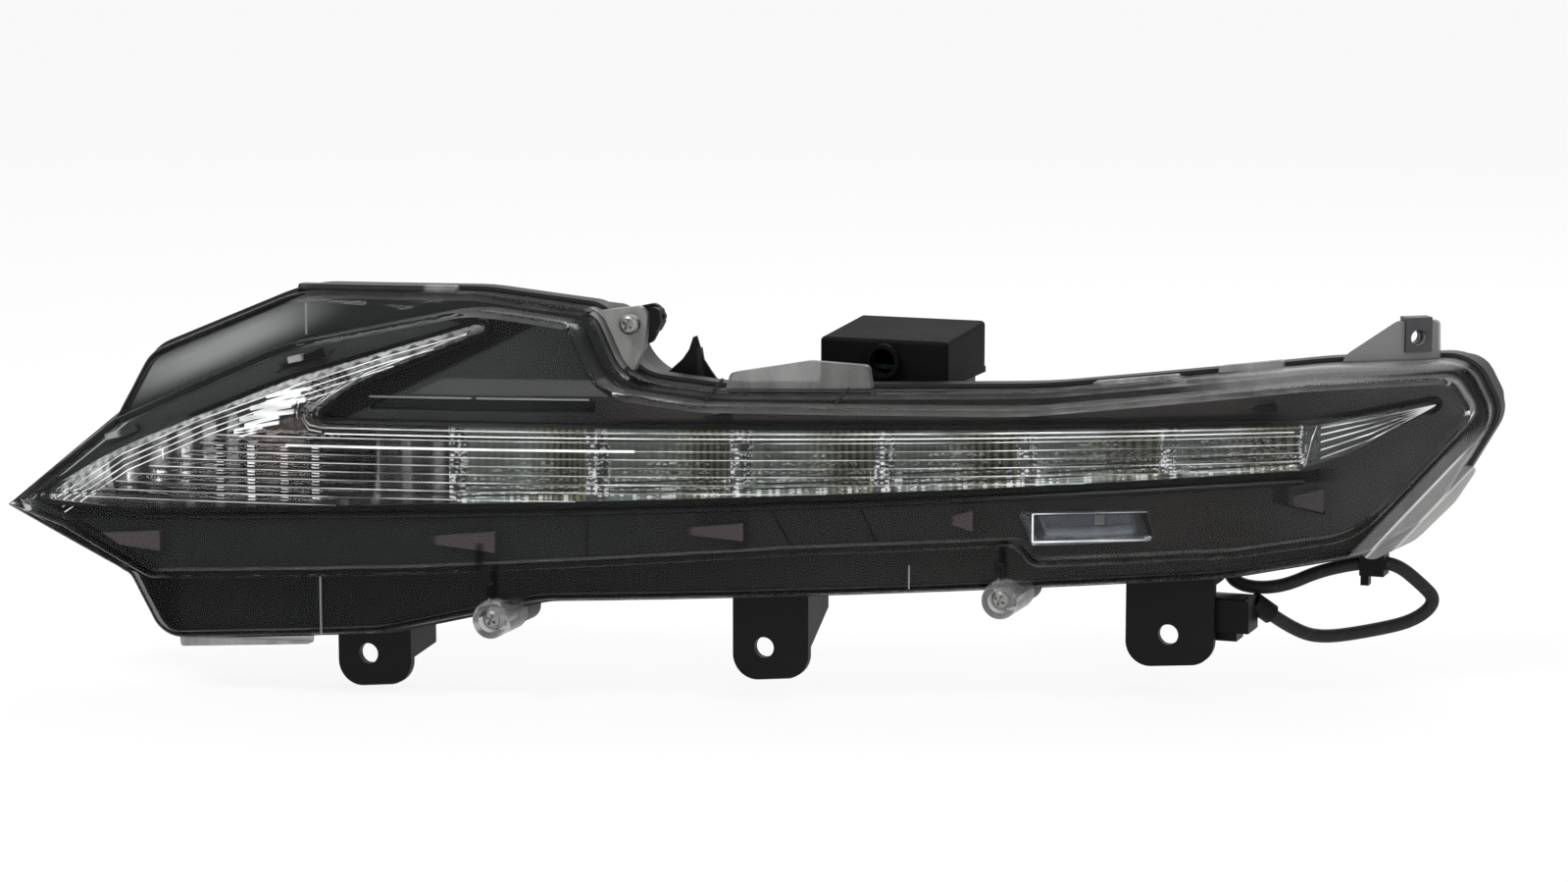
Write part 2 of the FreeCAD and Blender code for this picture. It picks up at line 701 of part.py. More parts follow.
def turn_bulb():
    seat = skin_y(bulb_x, bowl_apex_depth) - socket_lead
    round_centre = seat - bulb_length + bulb_radius
    profile = []
    for k in range(dome_rings + 1):
        turn = math.radians(90 * k / dome_rings)
        profile.append((bulb_radius * math.sin(turn), round_centre - bulb_radius * math.cos(turn)))
    neck = seat - seat_gap
    end = seat + bulb_base_length
    profile += [(bulb_radius, neck), (bulb_base_radius, neck), (bulb_base_radius, end), (0, end)]
    return solid_of_revolution(profile, (bulb_x, bulb_z))


def collar_back():
    return skin_y(bulb_x, core_depth) + collar_height


def bulb_socket():
    mouth = skin_y(bulb_x, bowl_apex_depth) - socket_lead
    flange_front = collar_back() + socket_seal_height
    flange_back = flange_front + socket_flange_wall
    body_front = flange_front - socket_body_length
    profile = [(0, mouth), (socket_neck_radius, mouth), (socket_neck_radius, body_front),
               (socket_body_radius, body_front), (socket_body_radius, flange_front),
               (socket_flange_radius, flange_front), (socket_flange_radius, flange_back), (0, flange_back)]
    body = solid_of_revolution(profile, (bulb_x, bulb_z))
    half = socket_tower / 2
    rise = socket_tower_height / 2
    tower = box((bulb_x - half, flange_front, bulb_z - rise),
                (bulb_x + half, flange_back + socket_grip_length, bulb_z + rise))
    reach = socket_grip_width / 2
    thick = socket_flange_wall / 2
    grip = box((bulb_x - reach, flange_front, bulb_z - thick),
               (bulb_x + reach, flange_back + socket_grip_length / 2, bulb_z + thick))
    wall = socket_tower_wall
    cavity = box((bulb_x - half + wall, flange_back, bulb_z - rise + wall),
                 (bulb_x + half - wall, draw_back, bulb_z + rise - wall))
    base = rod(bulb_x, bulb_z, bulb_base_radius + seat_gap, mouth, mouth + bulb_base_length + seat_gap)
    return joined([body, tower, grip]).cut(cavity).cut(base)


def socket_seal():
    front = collar_back()
    outer = rod(bulb_x, bulb_z, collar_bore_radius + collar_wall, front, front + socket_seal_height)
    return outer.cut(rod(bulb_x, bulb_z, socket_body_radius + seat_gap, draw_front, draw_back))


def corner_lens():
    face = grown(corner_face, -slide_gap)
    room = column(grown(face, -corner_wall), corner_lens_depth + corner_wall, channel_floor)
    return column(face, corner_lens_depth, bezel_back).cut(room)


def corner_led_window(reach, front, back):
    """Square room about the corner lamp's LED."""
    middle_x = corner_face.CenterOfMass.x
    middle_z = corner_face.CenterOfMass.z
    square = rectangle(middle_x - reach, middle_z - reach, middle_x + reach, middle_z + reach)
    return column(square, front, back)


def corner_reflector():
    flange_face = grown(corner_face, reflector_overlap).common(inside_bezel_face)
    flange = column(flange_face, reflector_front, reflector_front + corner_wall)
    tray = column(corner_face, reflector_front, corner_pocket_depth + corner_wall)
    upper_room = column(grown(corner_face, -corner_wall), bezel_back, corner_pocket_depth - corner_step)
    lower_room = column(grown(corner_face, -(corner_wall + corner_step)), bezel_back, corner_pocket_depth)
    window = corner_led_window(corner_led_size / 2 + slide_gap, bezel_back, draw_back)
    return joined([flange, tray]).cut(upper_room).cut(lower_room).cut(window)


def corner_led_board():
    front = corner_pocket_depth + corner_wall + seat_gap
    return column(grown(corner_face, -corner_wall), front, front + board_wall)


def corner_led():
    back = corner_pocket_depth + corner_wall + seat_gap / 2
    return corner_led_window(corner_led_size / 2, back - corner_led_height, back)


def bracket_pad(hole_x, plane_y, reach_left, foot_z):
    """Block under the housing with a flat seat for a bracket's foot."""
    half = bracket_wall / 2
    return box((hole_x - reach_left + half, plane_y, foot_z),
               (hole_x + bracket_reach - half, plane_y + bracket_foot_length, foot_z + pad_height))


def bracket_screw_places():
    return [(hole_x + offset, plane_y + BRACKET_SCREW_BACK, foot_z)
            for hole_x, plane_y, hole_z, reach_left, foot_z, flanged in BRACKETS.values()
            for offset in BRACKET_SCREW_OFFSETS]


def bracket(hole_x, plane_y, hole_z, reach_left, foot_z, flanged):
    left = hole_x - reach_left
    right = hole_x + bracket_reach
    bottom = hole_z - bracket_drop
    face = outline([(left, foot_z, 0), (right, foot_z, 0), (right, bottom + bracket_wall, bracket_corner),
                    (left, bottom, bracket_corner)])
    plate = prism(face, plane_y, plane_y + bracket_wall)
    foot = box((left, plane_y, foot_z - bracket_wall), (right, plane_y + bracket_foot_length, foot_z))
    solids = [plate, foot]
    if flanged:
        back = plane_y + bracket_flange_depth
        low = bottom + bracket_wall + bracket_corner
        points = [Vector(right - bracket_wall, y, z) for y, z in
                  ((plane_y, low), (plane_y, foot_z), (back, foot_z), (back, foot_z - bracket_corner))]
        solids.append(Part.Face(Part.makePolygon(points + points[:1])).extrude(Vector(bracket_wall, 0, 0)))
    part = joined(solids).cut(rod(hole_x, hole_z, bracket_hole_radius, draw_front, draw_back))
    for x, y, z in bracket_screw_places():
        part = part.cut(upright(x, y, screw_pass_radius, z - bracket_wall * 2, z + bracket_wall))
    return part


def bracket_screws():
    screws = []
    for x, y, z in bracket_screw_places():
        under = z - bracket_wall
        head = upright(x, y, screw_head_radius, under - screw_head_height, under)
        screws.append(joined([head, upright(x, y, screw_radius, under, z + bracket_screw_length)]))
    return Part.makeCompound(screws)


def driver_block(inset, low, top_inset):
    """Box that rises towards the back, with its side walls moved in by a distance."""
    front, back = driver_front + inset, driver_back - inset
    top = driver_top - top_inset
    points = [Vector(driver_left + inset, y, z) for y, z in
              ((front, low), (front, top), (back, top + driver_rise), (back, low))]
    width = driver_right - driver_left - 2 * inset
    return Part.Face(Part.makePolygon(points + points[:1])).extrude(Vector(width, 0, 0))


def driver_case():
    low = driver_floor + driver_base_wall
    outside = driver_block(0, low, 0)
    edges = [edge for edge in outside.Edges if edge.BoundBox.ZMax > low + driver_wall]
    outside = outside.makeFillet(driver_round, edges)
    port = rod(port_x, port_z, port_radius, driver_front - port_length, driver_front + driver_wall)
    bore = rod(port_x, port_z, port_radius - port_wall, draw_front, driver_front + driver_wall + port_length)
    return joined([outside, port]).cut(driver_block(driver_wall, low, driver_wall)).cut(bore)


def driver_base():
    low = driver_floor
    high = driver_floor + driver_base_wall
    plate = box((driver_left, driver_front, low), (driver_right, driver_back, high))
    inset = driver_wall + driver_round + screw_head_radius
    posts = [upright(x, y, screw_radius, low, high + driver_board_lift)
             for x in (driver_left + inset, driver_right - inset)
             for y in (driver_front + inset, driver_back - inset)]
    return joined([plate] + posts)


def driver_board():
    inset = driver_wall + slide_gap
    low = driver_floor + driver_base_wall + driver_board_lift
    return box((driver_left + inset, driver_front + port_length + inset, low),
               (driver_right - inset, driver_back - inset, low + board_wall))


def tab_clip():
    x, z = TAB_SCREW_PLACE
    front = tab_back + seat_gap
    leaf = column(outline(TAB_CLIP_LEAF), front, front + clip_wall)
    clip = joined([leaf, column(outline(TAB_CLIP_HOOK), tab_depth, front + clip_wall)])
    return clip.cut(rod(x, z, screw_hole_radius, draw_front, draw_back))


def tab_screw():
    x, z = TAB_SCREW_PLACE
    seat = skin_y(x, tab_depth) - seat_gap - screw_head_radius * (x - skin_axis_x) / skin_radius
    end = skin_y(x, tab_back + seat_gap + clip_wall)
    head = rod(x, z, screw_head_radius, seat - screw_head_height, seat)
    return joined([head, rod(x, z, screw_radius, seat, end)])


def corner_nut_clip():
    half = nut_clip_size / 2
    top = LENS_TABS["corner_tab"][2][1] - NUT_PLACE[1] + seat_gap
    front = -(nut_clip_wall + seat_gap)
    back = tab_wall + seat_gap
    front_leaf = box((-half, front, -half), (half, -seat_gap, top + nut_clip_wall))
    back_leaf = box((-half, back, -half), (half, back + nut_clip_wall, top + nut_clip_wall))
    bridge = box((-half, front, top), (half, back + nut_clip_wall, top + nut_clip_wall))
    collar = rod(0, 0, nut_bore_radius + nut_clip_wall, back, back + nut_collar_length)
    clip = joined([front_leaf, back_leaf, bridge, collar])
    clip = clip.cut(rod(0, 0, tab_hole_radius, 2 * front, 0)).cut(rod(0, 0, nut_bore_radius, 0, draw_back))
    return on_skin(clip, NUT_PLACE[0], NUT_PLACE[1], tab_depth)


def cable_path():
    """Straight runs of the route, joined by arcs as large as the runs allow."""
    points = [Vector(*point) for point in CABLE_ROUTE]
    edges = []
    start = points[0]
    radii = []
    for before, here, after in zip(points, points[1:], points[2:]):
        back, ahead = before - here, after - here
        reach = cable_arc_share * min(back.Length, ahead.Length)
        half_turn = (math.pi - back.getAngle(ahead)) / 2
        radius = reach / math.tan(half_turn)
        radii.append(round(radius, 1))
        bisector = (back.normalize() + ahead.normalize()).normalize()
        arc_start = here + back * reach
        arc_end = here + ahead * reach
        middle = here + bisector * (radius / math.cos(half_turn) - radius)
        edges.append(Part.LineSegment(start, arc_start).toShape())
        edges.append(Part.Arc(arc_start, middle, arc_end).toShape())
        start = arc_end
    edges.append(Part.LineSegment(start, points[-1]).toShape())
    return Part.Wire(edges), radii


def cable_tube(radius):
    path = cable_path()[0]
    first, second = Vector(*CABLE_ROUTE[0]), Vector(*CABLE_ROUTE[1])
    section = Part.Wire(Part.makeCircle(radius, first, second - first))
    return path.makePipeShell([section], True, False)


def harness_cable():
    return cable_tube(cable_radius)


def harness_grommet():
    x, y, z = CABLE_ROUTE[0]
    tilt = Vector(*CABLE_ROUTE[0]) - Vector(*CABLE_ROUTE[1])
    foot = Part.makeCylinder(cable_radius + cable_clip_wall / 2, grommet_flange, Vector(x, y, z), tilt)
    seat = grommet_seat()
    flange = upright(x, y, grommet_radius, seat - grommet_flange, seat)
    neck = upright(x, y, grommet_neck_radius, seat, seat + grommet_neck_length)
    return joined([foot, flange, neck])


def grommet_seat():
    return CABLE_ROUTE[0][2] + 2 * grommet_flange


def clip_seat():
    """Height of the housing's seat for the cable clip."""
    return CABLE_ROUTE[CABLE_CLIP_POINT][2] + cable_radius + cable_clip_wall + clip_stem


def harness_clip():
    x, y, z = CABLE_ROUTE[CABLE_CLIP_POINT]
    reach = cable_radius + cable_clip_wall
    half = cable_clip_width / 2
    ring = box((x - half, y - reach, z - reach), (x + half, y + reach, z + reach))
    stem = box((x - half / 2, y - half / 2, z), (x + half / 2, y + half / 2, clip_seat()))
    nub = box((x - half, y - half / 2, z - reach - clip_nub), (x - half / 3, y + half / 2, z))
    return joined([ring, stem, nub]).cut(cable_tube(cable_radius + seat_gap))


def harness_connector():
    end, before = Vector(*CABLE_ROUTE[-1]), Vector(*CABLE_ROUTE[-2])
    boot = Part.makeCylinder(connector_boot_radius, connector_boot_length, end, end - before)
    low, high = CONNECTOR_BOX
    ribs = []
    for i in range(connector_rib_count):
        y = low[1] + connector_rib * (2 * i + 1)
        ribs.append(box((low[0] + connector_wall, y, high[2] - connector_rib),
                        (high[0] - connector_wall, y + connector_rib, high[2] + connector_rib)))
    body = joined([box(*CONNECTOR_BOX), box(*CONNECTOR_LATCH), boot] + ribs)
    cavity = box((low[0] + connector_wall, high[1] - connector_cavity, low[2] + connector_wall),
                 (boot.BoundBox.XMin - connector_wall, draw_back, high[2] - connector_wall))
    return body.cut(cavity)


def breather_cap():
    stem = rod(0, 0, breather_stem_radius, 0, breather_height)
    cap = rod(0, 0, breather_radius, breather_height / 2, breather_height)
    return on_skin(joined([stem, cap]), BREATHER_PLACE[0], BREATHER_PLACE[1], core_depth + seat_gap)


def back_ribs():
    """Upright ribs across the back of the core."""
    half = back_rib_wall / 2
    field = grown(core_face, -(rear_round + back_rib_wall))
    ribs = []
    for x in BACK_RIBS:
        rib = rectangle(x - half, draw_front, x + half, draw_back).common(field)
        ribs.append(column(rib, core_depth - housing_wall / 2, core_depth + back_rib_height))
    return ribs


def rear_housing():
    lip_face = grown(foot_face, lip_gap + lip_wall)
    lip = column(lip_face, channel_floor - lip_height, channel_floor + flange_wall)
    lens_room = column(grown(foot_face, lip_gap), 0, channel_floor)
    rib = column(bezel_foot_face, rib_front, channel_floor + flange_wall)
    body = round_rim(column(body_face, channel_floor, body_depth), body_depth, rear_round)
    core = round_rim(column(core_face, channel_floor, core_depth), core_depth, rear_round)
    fin_y = skin_y(HOUSING_FIN[2][0], fin_depth)
    fin = prism(outline(HOUSING_FIN), fin_y, fin_y + fin_wall)
    pads = [bracket_pad(hole_x, plane_y, reach_left, foot_z)
            for hole_x, plane_y, hole_z, reach_left, foot_z, flanged in BRACKETS.values()]
    bosses = [rod(x, z, boss_radius, draw_front, skin_y(x, channel_floor) + boss_length).common(
        skin_solid(channel_floor)) for x, z in LENS_EARS]
    inset = driver_pad_inset
    driver_pad = box((driver_left + inset, driver_front + inset, driver_floor - driver_pad_height),
                     (driver_right - inset, driver_back - inset, driver_floor))
    exit_x, exit_y, exit_z = CABLE_ROUTE[0]
    exit_pad = upright(exit_x, exit_y, grommet_pad_radius, grommet_seat(), grommet_seat() + pad_height)
    clip_x, clip_y, clip_z = CABLE_ROUTE[CABLE_CLIP_POINT]
    half = cable_clip_width / 2
    clip_pad = box((clip_x - half, clip_y - half, clip_seat()),
                   (clip_x + half, clip_y + half, clip_seat() + pad_height))
    collar_radius = collar_bore_radius + collar_wall
    collar = rod(bulb_x, bulb_z, collar_radius, collar_back() - collar_length, collar_back())
    shell = joined([lip.cut(lens_room), rib, body, core, fin, driver_pad, exit_pad, clip_pad, collar]
                   + pads + bosses + back_ribs())
    body_room = column(grown(body_face, -housing_wall), 0, body_depth - housing_wall)
    core_room = column(grown(core_face, -housing_wall), 0, core_depth - housing_wall)
    shell = shell.cut(body_room.fuse(core_room).cut(collar))
    post_front = sink_back + seat_gap
    post = rod(0, 0, post_radius, 0, core_depth - housing_wall / 2 - post_front)
    shell = joined([shell] + [on_skin(post, x, z, post_front) for x, z in sink_post_places()])
    shell = shell.cut(rod(bulb_x, bulb_z, collar_bore_radius, collar_back() - 2 * collar_length, draw_back))
    for x, z in LENS_EARS:
        ear_room = rod(x, z, ear_radius + lip_gap, draw_front, draw_back).cut(skin_solid(channel_floor))
        hole = rod(x, z, screw_hole_radius, draw_front, skin_y(x, channel_floor) + lens_screw_grip + seat_gap)
        shell = shell.cut(ear_room).cut(hole)
    for x, y, z in bracket_screw_places():
        end = z + bracket_screw_length + seat_gap
        shell = shell.cut(upright(x, y, screw_hole_radius, z - bracket_wall, end))
    neck_radius = grommet_neck_radius + seat_gap
    neck_end = grommet_seat() + grommet_neck_length + seat_gap
    return shell.cut(upright(exit_x, exit_y, neck_radius, exit_z, neck_end))


PIECES = {
    "outer_lens": outer_lens, "lens_seal": lens_seal, "rear_housing": rear_housing,
    "front_bezel": front_bezel, "inner_lens": inner_lens, "end_blade": end_blade,
    "drl_reflector": drl_reflector, "turn_reflector": turn_reflector, "drl_led_board": drl_led_board,
    "drl_leds": drl_leds, "drl_heat_sink": drl_heat_sink, "turn_bulb": turn_bulb, "bulb_socket": bulb_socket,
    "socket_seal": socket_seal, "corner_lens": corner_lens, "corner_reflector": corner_reflector,
    "corner_led_board": corner_led_board, "corner_led": corner_led, "driver_case": driver_case,
    "driver_base": driver_base, "driver_board": driver_board, "bracket_screws": bracket_screws,
    "lens_screws": lens_screws, "tab_clip": tab_clip, "tab_screw": tab_screw,
    "corner_nut_clip": corner_nut_clip, "harness_grommet": harness_grommet, "harness_cable": harness_cable,
    "harness_connector": harness_connector, "harness_clip": harness_clip, "breather_cap": breather_cap}

os.makedirs("parts", exist_ok=True)
for name, make in PIECES.items():
    make().exportStep(f"parts/{name}.step")
for name, sizes in BRACKETS.items():
    bracket(*sizes).exportStep(f"parts/{name}.step")
print("cable bend radii", cable_path()[1])
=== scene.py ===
import math

import bmesh
import bpy
from mathutils import Matrix, Vector


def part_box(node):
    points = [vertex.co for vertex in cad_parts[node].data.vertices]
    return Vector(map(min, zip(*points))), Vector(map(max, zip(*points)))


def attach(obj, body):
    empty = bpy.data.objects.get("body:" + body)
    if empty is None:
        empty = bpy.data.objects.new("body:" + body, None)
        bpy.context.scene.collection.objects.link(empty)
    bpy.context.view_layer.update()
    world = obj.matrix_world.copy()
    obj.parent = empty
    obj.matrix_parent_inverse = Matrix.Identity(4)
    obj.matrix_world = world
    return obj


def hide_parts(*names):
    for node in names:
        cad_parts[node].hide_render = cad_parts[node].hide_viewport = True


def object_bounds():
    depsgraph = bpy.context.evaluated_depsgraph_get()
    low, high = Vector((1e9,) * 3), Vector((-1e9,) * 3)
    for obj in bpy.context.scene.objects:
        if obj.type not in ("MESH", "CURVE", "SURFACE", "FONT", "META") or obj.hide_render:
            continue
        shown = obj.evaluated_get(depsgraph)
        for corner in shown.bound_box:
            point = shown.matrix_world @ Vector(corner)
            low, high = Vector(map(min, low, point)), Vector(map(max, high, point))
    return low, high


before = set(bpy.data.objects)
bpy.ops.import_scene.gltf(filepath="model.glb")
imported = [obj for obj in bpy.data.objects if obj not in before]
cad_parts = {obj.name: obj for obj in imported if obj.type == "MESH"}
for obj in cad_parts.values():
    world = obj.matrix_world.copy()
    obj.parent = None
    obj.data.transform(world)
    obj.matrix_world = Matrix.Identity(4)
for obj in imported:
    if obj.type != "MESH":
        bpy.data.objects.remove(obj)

# Auxiliary driving light: the looks of the lamp, in metres.
# X runs along the lamp, -Y is the way it shines and +Z is up.

cad_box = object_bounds()
scene = bpy.context.scene
scene.view_settings.view_transform = "Standard"

# Camera
CAMERA_TARGET = Vector((0.02397, -0.04464, 0.08343))
CAMERA_AZIMUTH = math.radians(20)
CAMERA_ELEVATION = math.radians(9)
CAMERA_DISTANCE = 1.5
CAMERA_LENS = 99.3
CAMERA_CLIP_END = 50

# Studio, with its lamps as (name, place, size, power)
FLOOR_SIZE = 6
FLOOR_COLOUR = (0.85, 0.85, 0.85, 1)
FLOOR_ROUGHNESS = 0.9
FLOOR_WHITE_SHARE = 0.86
STUDIO_DARK = (0.20, 0.20, 0.20)
STUDIO_PALE = (0.95, 0.95, 0.95)
STUDIO_LAMPS = [
    ("key", (-0.5, -0.9, 1.3), 0.5, 16.0),
    ("fill", (1.1, -1.1, 0.7), 0.5, 5.0),
    ("back", (0.2, 1.0, 1.2), 1.0, 10.0)]

# Skin that every layer of the lamp follows, and depths below it
SKIN_RADIUS = 0.994
SKIN_AXIS_X = -0.318
SKIN_AXIS_Y = 0.895
FLUTE_CREST_DEPTH = 0.0042
BAR_LENS_DEPTH = 0.005
BAR_LENS_BACK = 0.0068
CORNER_LENS_DEPTH = 0.0075
BEZEL_DEPTH = 0.009
EAR_SEAT_DEPTH = 0.009
LOBE_STEP = 0.012
BEZEL_LOBE_DEPTH = 0.014
LOBE_WALL_DEPTH = 0.0178
TAB_DEPTH = 0.020
FIN_DEPTH = 0.0381

# LED cells, as angles about the skin's axis and as shares of a cell
FIRST_CELL_ANGLE = math.radians(13.1)
CELL_PITCH_ANGLE = math.radians(2.957)
CELL_COUNT = 6
CELL_WALL_END = 0.11
CELL_WALL_START = 0.955
CELL_OLIVE_START = 0.60
CELL_FLUTE_PITCH = 0.0026
CELL_GLINT_HEIGHT = 0.0042

# Light bar: its lower edge rises along X, and its upper edge is level
BAR_LOW_Z = 0.0616
BAR_LOW_SLOPE = 0.036
BAR_TOP_Z = 0.0842
BAR_LEFT_X = -0.205
BAR_RIGHT_X = 0.186

# Painted highlight lines along the bar, as (drop from its upper edge, left x, right x, side)
BAR_LINES = [(0.0018, -0.136, 0.184, 0.0004), (0.0063, -0.150, -0.029, 0.0008)]
BAR_LINE_DEPTH = FLUTE_CREST_DEPTH - 0.0001
SILL_DROP = 0.0042
SILL_RADIUS = 0.0014

# Flutes: painted highlight lines on their crests, from the arm's slanted steps to the bar's lower edge
FLUTE_PITCH = 0.003
FLUTE_COUNT = 9
FLUTE_TOP_Z = 0.0809
FLUTE_LINE = 0.00028
FLUTE_LEFT_X = -0.175
FLUTE_LEFT_SLOPE = 2.125
FLUTE_END_GAP = 0.002

# Painted refraction: dark lines where the lower flutes show the dark bezel
# Dark lines low in the flutes over each LED cell: heights above the bar's lower edge, shares of the cell
FLUTE_SHADE_HEIGHTS = (0.0028, 0.0045, 0.0065)
FLUTE_SHADE_SHARES = (0.14, 0.92)
FLUTE_SHADE_SIDE = 0.0005
FLUTE_SHADE_DEPTH = FLUTE_CREST_DEPTH + 0.0003

# The arm's bright steps are painted highlight lines
# Upper edge of the arm as (x, z), and the bright steps below it as (inset, last x). A step leaves out the
# stretches of the edge that end further past its last x than its reach.
ARM_TOP = [(-0.238, 0.0575), (-0.213, 0.0740), (-0.182, 0.0880), (-0.150, 0.1000), (-0.115, 0.1120),
           (-0.088, 0.1200)]
ARM_STEPS = [(0.0020, -0.088), (0.0040, -0.100), (0.0060, -0.118), (0.0080, -0.136)]
ARM_STEP_REACH = 0.03
ARM_STEP_SIDE = 0.0004
ARM_STEP_DEPTH = BAR_LENS_BACK + 0.0006
ARM_INWARDS = (0.4, -0.92)

# Inner edge of the notch as (x, z), a painted highlight line from the arm's tip round the bend to the bar
NOTCH_RIM = [(-0.0860, 0.1188), (-0.1040, 0.1112), (-0.1215, 0.1040), (-0.1340, 0.0962), (-0.1422, 0.0896),
             (-0.1434, 0.0872), (-0.1415, 0.0852), (-0.1370, 0.0844)]
NOTCH_RIM_SIDE = 0.0005
NOTCH_RIM_DEPTH = BAR_LENS_DEPTH - 0.0002
NOTCH_RIM_DROP = 0.0004

# Second, thinner edge inside it: how it is set off along the arm and along the bar
NOTCH_INNER_SIDE = 0.00035
NOTCH_INNER_ARM = (-0.0010, 0.0004)
NOTCH_INNER_BAR = (-0.0004, -0.0016)

# Painted glint at the bend: place of the first strip, step to the next, and heights of a strip's ends and
# middle
BEND_GLINT_COUNT = 9
BEND_GLINT_FIRST = (-0.1640, 0.0822)
BEND_GLINT_STEP = (0.0020, 0.0021)
BEND_GLINT_HEIGHTS = (-0.0024, -0.0004, 0.0012)
BEND_GLINT_HALF = 0.0085
BEND_GLINT_LENGTHS = (0.8, 1.2)
BEND_GLINT_SIDE = 0.0004
BEND_GLINT_SWELL = 0.0013
BEND_GLINT_DEPTH = BAR_LENS_BACK + 0.0009

# Upright rows of painted sparks in the gaps between the flutes of the turn chamber, as (x, height of a spark)
SPARK_ROWS = [(-0.1757, 0.0005), (-0.1643, 0.0011), (-0.1522, 0.0005), (-0.1410, 0.0008)]
SPARK_WIDTH = 0.0026
SPARK_THICKNESS = 0.0006
SPARK_GAPS = range(1, 8)

# Painted highlights on the end blade's ridges: where they start, bend and run together, and the joint before
# them
BLADE_START_X = 0.1925
BLADE_STARTS = (0.0728, 0.0757, 0.0786, 0.0812, 0.0836)
BLADE_MIDDLE_X = 0.2080
BLADE_MIDDLE_SHARES = (0.34, 0.06)
BLADE_TIP = (0.2285, 0.0904)
BLADE_TIP_SPREAD = (0.002, 0.0012)
BLADE_RIDGE_SIDE = 0.0004
BLADE_JOINT = [(0.1872, 0.0697), (0.1886, 0.0752), (0.1893, 0.0790), (0.1910, 0.0842)]
BLADE_JOINT_SIDE = 0.0006
BLADE_JOINT_DEPTH = FLUTE_CREST_DEPTH + 0.0004

# Painted highlight lines on the inner frame of the corner window: its lower and upper lines as (z, side)
CORNER_FRAME_X = 0.1003
CORNER_FRAME_RIGHT = 0.1370
CORNER_FRAME_LINES = [(0.0447, 0.0006), (0.0547, 0.0003)]
CORNER_POST = (0.0005, 0.0008)
CORNER_FOOT_Z = 0.0462

# Black fin above the housing, and painted shade in the slots beside the bezel's hooks, as (x, z) outlines
FIN_WEB = [(-0.0330, 0.0985), (-0.0292, 0.1020), (-0.0255, 0.1055), (-0.0232, 0.1090), (-0.0218, 0.1135),
           (-0.0203, 0.1140), (-0.0195, 0.1110), (-0.0182, 0.1060), (-0.0155, 0.1015), (-0.0135, 0.0985)]
FIN_WALL = 0.003
HOOK_SLOTS = [
    [(-0.0107, 0.0520), (-0.0107, 0.0563), (0.0075, 0.0563), (0.0075, 0.0431), (0.0030, 0.0431),
     (0.0030, 0.0500)],
    [(-0.2170, 0.0758), (-0.2150, 0.0775), (-0.2050, 0.0830), (-0.1934, 0.0862), (-0.2020, 0.0800),
     (-0.2110, 0.0755)],
    [(-0.1560, 0.1032), (-0.1535, 0.1050), (-0.1440, 0.1085), (-0.1336, 0.1122), (-0.1360, 0.1092),
     (-0.1460, 0.1052), (-0.1540, 0.1025)],
    [(-0.0939, 0.1228), (-0.0900, 0.1246), (-0.0830, 0.1236), (-0.0745, 0.1224), (-0.0800, 0.1214),
     (-0.0890, 0.1212)],
    [(0.1762, 0.0565), (0.1762, 0.0655), (0.1812, 0.0655), (0.1812, 0.0560), (0.1932, 0.0535),
     (0.1932, 0.0515)]]
HOOK_SLOT_WALL = 0.0003

# Pale stops in two of the slots, as (x, z)
SLOT_STOPS = [(-0.2150, 0.0790), (-0.1470, 0.1085)]
SLOT_STOP_SIZE = (0.0052, 0.0030, 0.0022)
SLOT_STOP_PROUD = 0.0022
SLOT_STOP_LEAN = -0.25

# Ledge across the notch, as (left x, right x) of its lengths
NOTCH_LEDGE = [(-0.122, -0.0865), (-0.0845, -0.046)]
NOTCH_LEDGE_Z = 0.0953
NOTCH_LEDGE_SIDE = 0.0006
NOTCH_LEDGE_DEPTH = BEZEL_DEPTH - 0.0002

# Struts in front of the middle tab, as (x, z) ends, and upright ribs on the lens lobes, as (x, low z, high z)
TAB_STRUTS = [((-0.0106, 0.0918), (-0.0016, 0.1028)), ((0.0337, 0.0925), (0.0398, 0.0997))]
TAB_STRUT_SECTION = (0.0016, 0.0009)
TAB_STRUT_PROUD = 0.0006
LENS_RIBS = [(-0.1455, 0.1165, 0.1275), (-0.1420, 0.0085, 0.0300), (0.0590, 0.0275, 0.0360)]
LENS_RIB_SECTION = (0.0004, 0.0008)
LENS_RIB_PROUD = 0.0002

# Screws
LENS_SCREWS = [(-0.081, 0.0158), (0.0892, 0.0233)]
TAB_SCREW = (-0.0355, 0.121)
EAR_BORE = 0.005
EAR_RADIUS = 0.0065
EAR_FROST_RADIUS = EAR_RADIUS + 0.0006
EAR_FROST_SHARE = 0.55
EAR_RIB_START = EAR_RADIUS + 0.001
SCREW_HEAD_HEIGHT = 0.0026
SCREW_HEAD_RADIUS = 0.0036
SCREW_CROWN_RADIUS = 0.002592
SCREW_DOME = 0.0012
SCREW_ROUND = 0.0007
RECESS_LENGTH = 0.00396
RECESS_WIDTH = 0.0009
RECESS_DEPTH = 0.0014
RECESS_TURN = 0.5
SAME_PLACE = 1e-5

# Harness
CABLE_ROUTE = [
    (0.152, 0.077, 0.0265), (0.1528, 0.0772, 0.0224), (0.157, 0.0786, 0.019), (0.1645, 0.081, 0.018),
    (0.173, 0.0845, 0.0193), (0.182, 0.089, 0.0235), (0.1915, 0.093, 0.026), (0.202, 0.0965, 0.0275),
    (0.210, 0.099, 0.0265), (0.2175, 0.102, 0.020), (0.224, 0.1045, 0.013), (0.2165, 0.1022, 0.0055),
    (0.202, 0.097, 0.0018), (0.184, 0.090, -0.001), (0.1745, 0.0845, 0.003), (0.168, 0.079, 0.009)]
CABLE_DIAMETER = 0.005
CABLE_LENGTH = 0.151
TAPE_PITCH = 0.009

